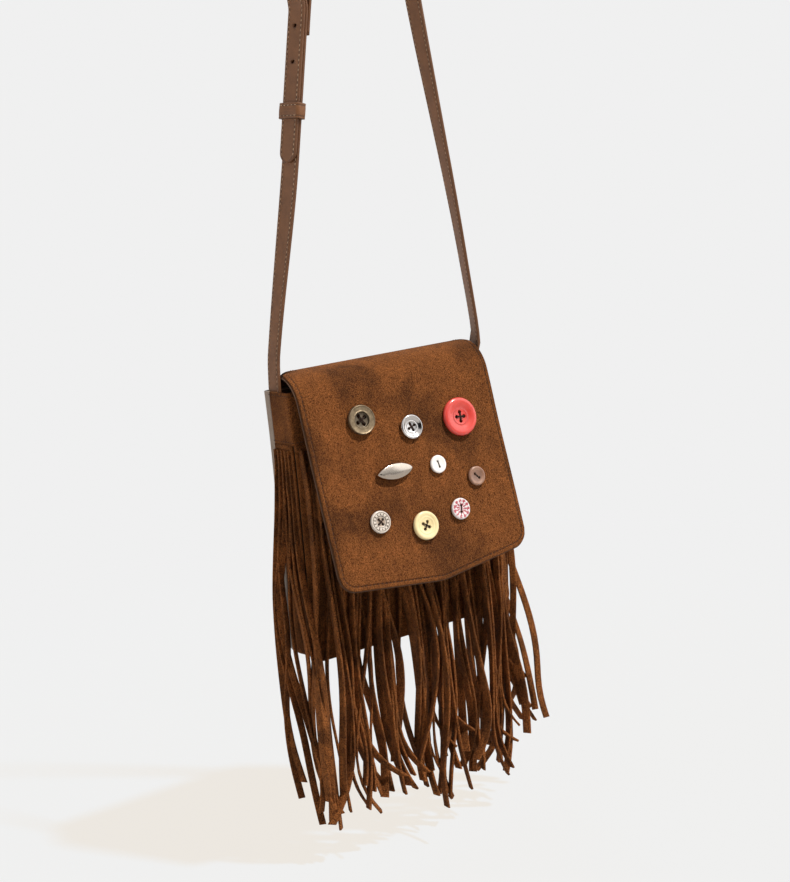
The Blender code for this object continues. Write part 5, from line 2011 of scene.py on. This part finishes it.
# %% Buckle and prong
def wire(name, points, radius, closed, finish):
    """A round wire along points, as a closed loop or with flat ends."""
    count = len(points)
    side = Vector((0, 0, 1)) if closed else Vector((1, 0, 0))
    rings = []
    for i, point in enumerate(points):
        before = points[i - 1] if closed or i else points[0]
        after = points[(i + 1) % count] if closed or i < count - 1 else points[-1]
        up = (Vector(after) - Vector(before)).normalized().cross(side).normalized()
        rings.append([Vector(point) + radius * (cosine * side + sine * up)
                      for cosine, sine in arc(16, 2 * math.pi)[:-1]])
    if closed:
        rings.append(rings[0])
    mesh = skin(name, rings, () if closed else (0, -1), merge=True)
    store_marks(mesh, FRAME_LENGTH)
    piece = link_mesh(name, mesh, finish)
    piece.matrix_world = strap_matrix(BAR_PLACE)
    return piece


def make_buckle():
    finish = metal("buckle_brass", (0.40, 0.30, 0.18), (0.24, 0.17, 0.10), 0.28)
    half = STRAP_WIDTH / 2 + FRAME_SIDE_ROOM + WIRE_RADIUS
    loop = [(x, y, 0) for x, y in rounded_loop(half, 0, FRAME_LENGTH, FRAME_CORNER, 8)]
    ring = WIRE_RADIUS + FIT + PRONG_RADIUS
    turns = [math.radians(turn) for turn in even_steps(350, 90, 24)]
    curl = [(0, ring * math.cos(turn), ring * math.sin(turn)) for turn in turns]
    shaft = [(0, y, ring) for y in even_steps(ring, FRAME_LENGTH + PRONG_OVERHANG, 8)]
    buckle = wire("buckle_wire_frame", loop, WIRE_RADIUS, True, finish)
    prong = wire("buckle_prong_wire", curl + shaft, PRONG_RADIUS, False, finish)
    settle(buckle, "pouch", "aged_brass", "buckle")
    settle(prong, "pouch", "aged_brass", "buckle_prong")


make_buckle()

# %% [markdown]
# The keeper is a small loop of the strap's leather that holds the loose end
# down. It slides along both layers, so it rides on a body of its own.

# %% Keeper
KEEPER_STITCH = (0.0030, 0.0018, 0.00070)
KEEPER_SOFT = 0.0005
KEEPER_SEAM = 0.0019
KEEPER_DENT = 0.00012


def make_keeper():
    wide = STRAP_WIDTH / 2 + KEEPER_ROOM
    deep = (layer + STRAP_THICKNESS) / 2 + KEEPER_ROOM

    def band(grow, y):
        loop = rounded_loop(wide + grow, -deep - grow, deep + grow, KEEPER_ROUND + grow, 6)
        return [Vector((x, y, z)) for x, z in loop]

    soft = KEEPER_SOFT
    half = KEEPER_HEIGHT / 2
    wall = KEEPER_THICKNESS
    lower = [band(0, -half), band(wall - soft, -half)]
    lower += [band(wall - soft + soft * sine, -half + soft * (1 - cosine)) for cosine, sine in arc(3)[1:]]
    lower += [band(wall - KEEPER_DENT, -half + KEEPER_SEAM), band(wall, -half + 0.0024)]
    upper = [[Vector((v.x, -v.y, v.z)) for v in ring] for ring in reversed(lower)]
    rings = lower + [band(wall + 0.00006, 0.0)] + upper + lower[:1]
    mesh = skin("keeper", rings, (), merge=True)
    store(mesh, "edge", [half - abs(v.co.y) for v in mesh.vertices])
    keeper = link_mesh("keeper_loop_leather", mesh, strap_leather)
    place = strap_matrix(KEEPER_PLACE, layer / 2)
    keeper.matrix_world = place
    settle(keeper, "keeper", "strap_leather", "strap_keeper")
    face = (place.to_3x3() @ Vector((0, 0, 1))).normalized()
    seams = []
    for y in (KEEPER_SEAM - half, half - KEEPER_SEAM):
        line = [place @ Vector((x, y, deep + wall - STITCH_SINK))
                for x in even_steps(-wide * 0.85, wide * 0.85, 12)]
        seams.append((line, [face] * len(line)))
    stitches = sew("keeper_stitching", seams, KEEPER_STITCH, strap_thread)
    settle(stitches, "keeper", "strap_leather")


make_keeper()

# %% Parts left plain
for name, node in nodes.items():
    if not node.hide_render:
        print("still plain:", name)
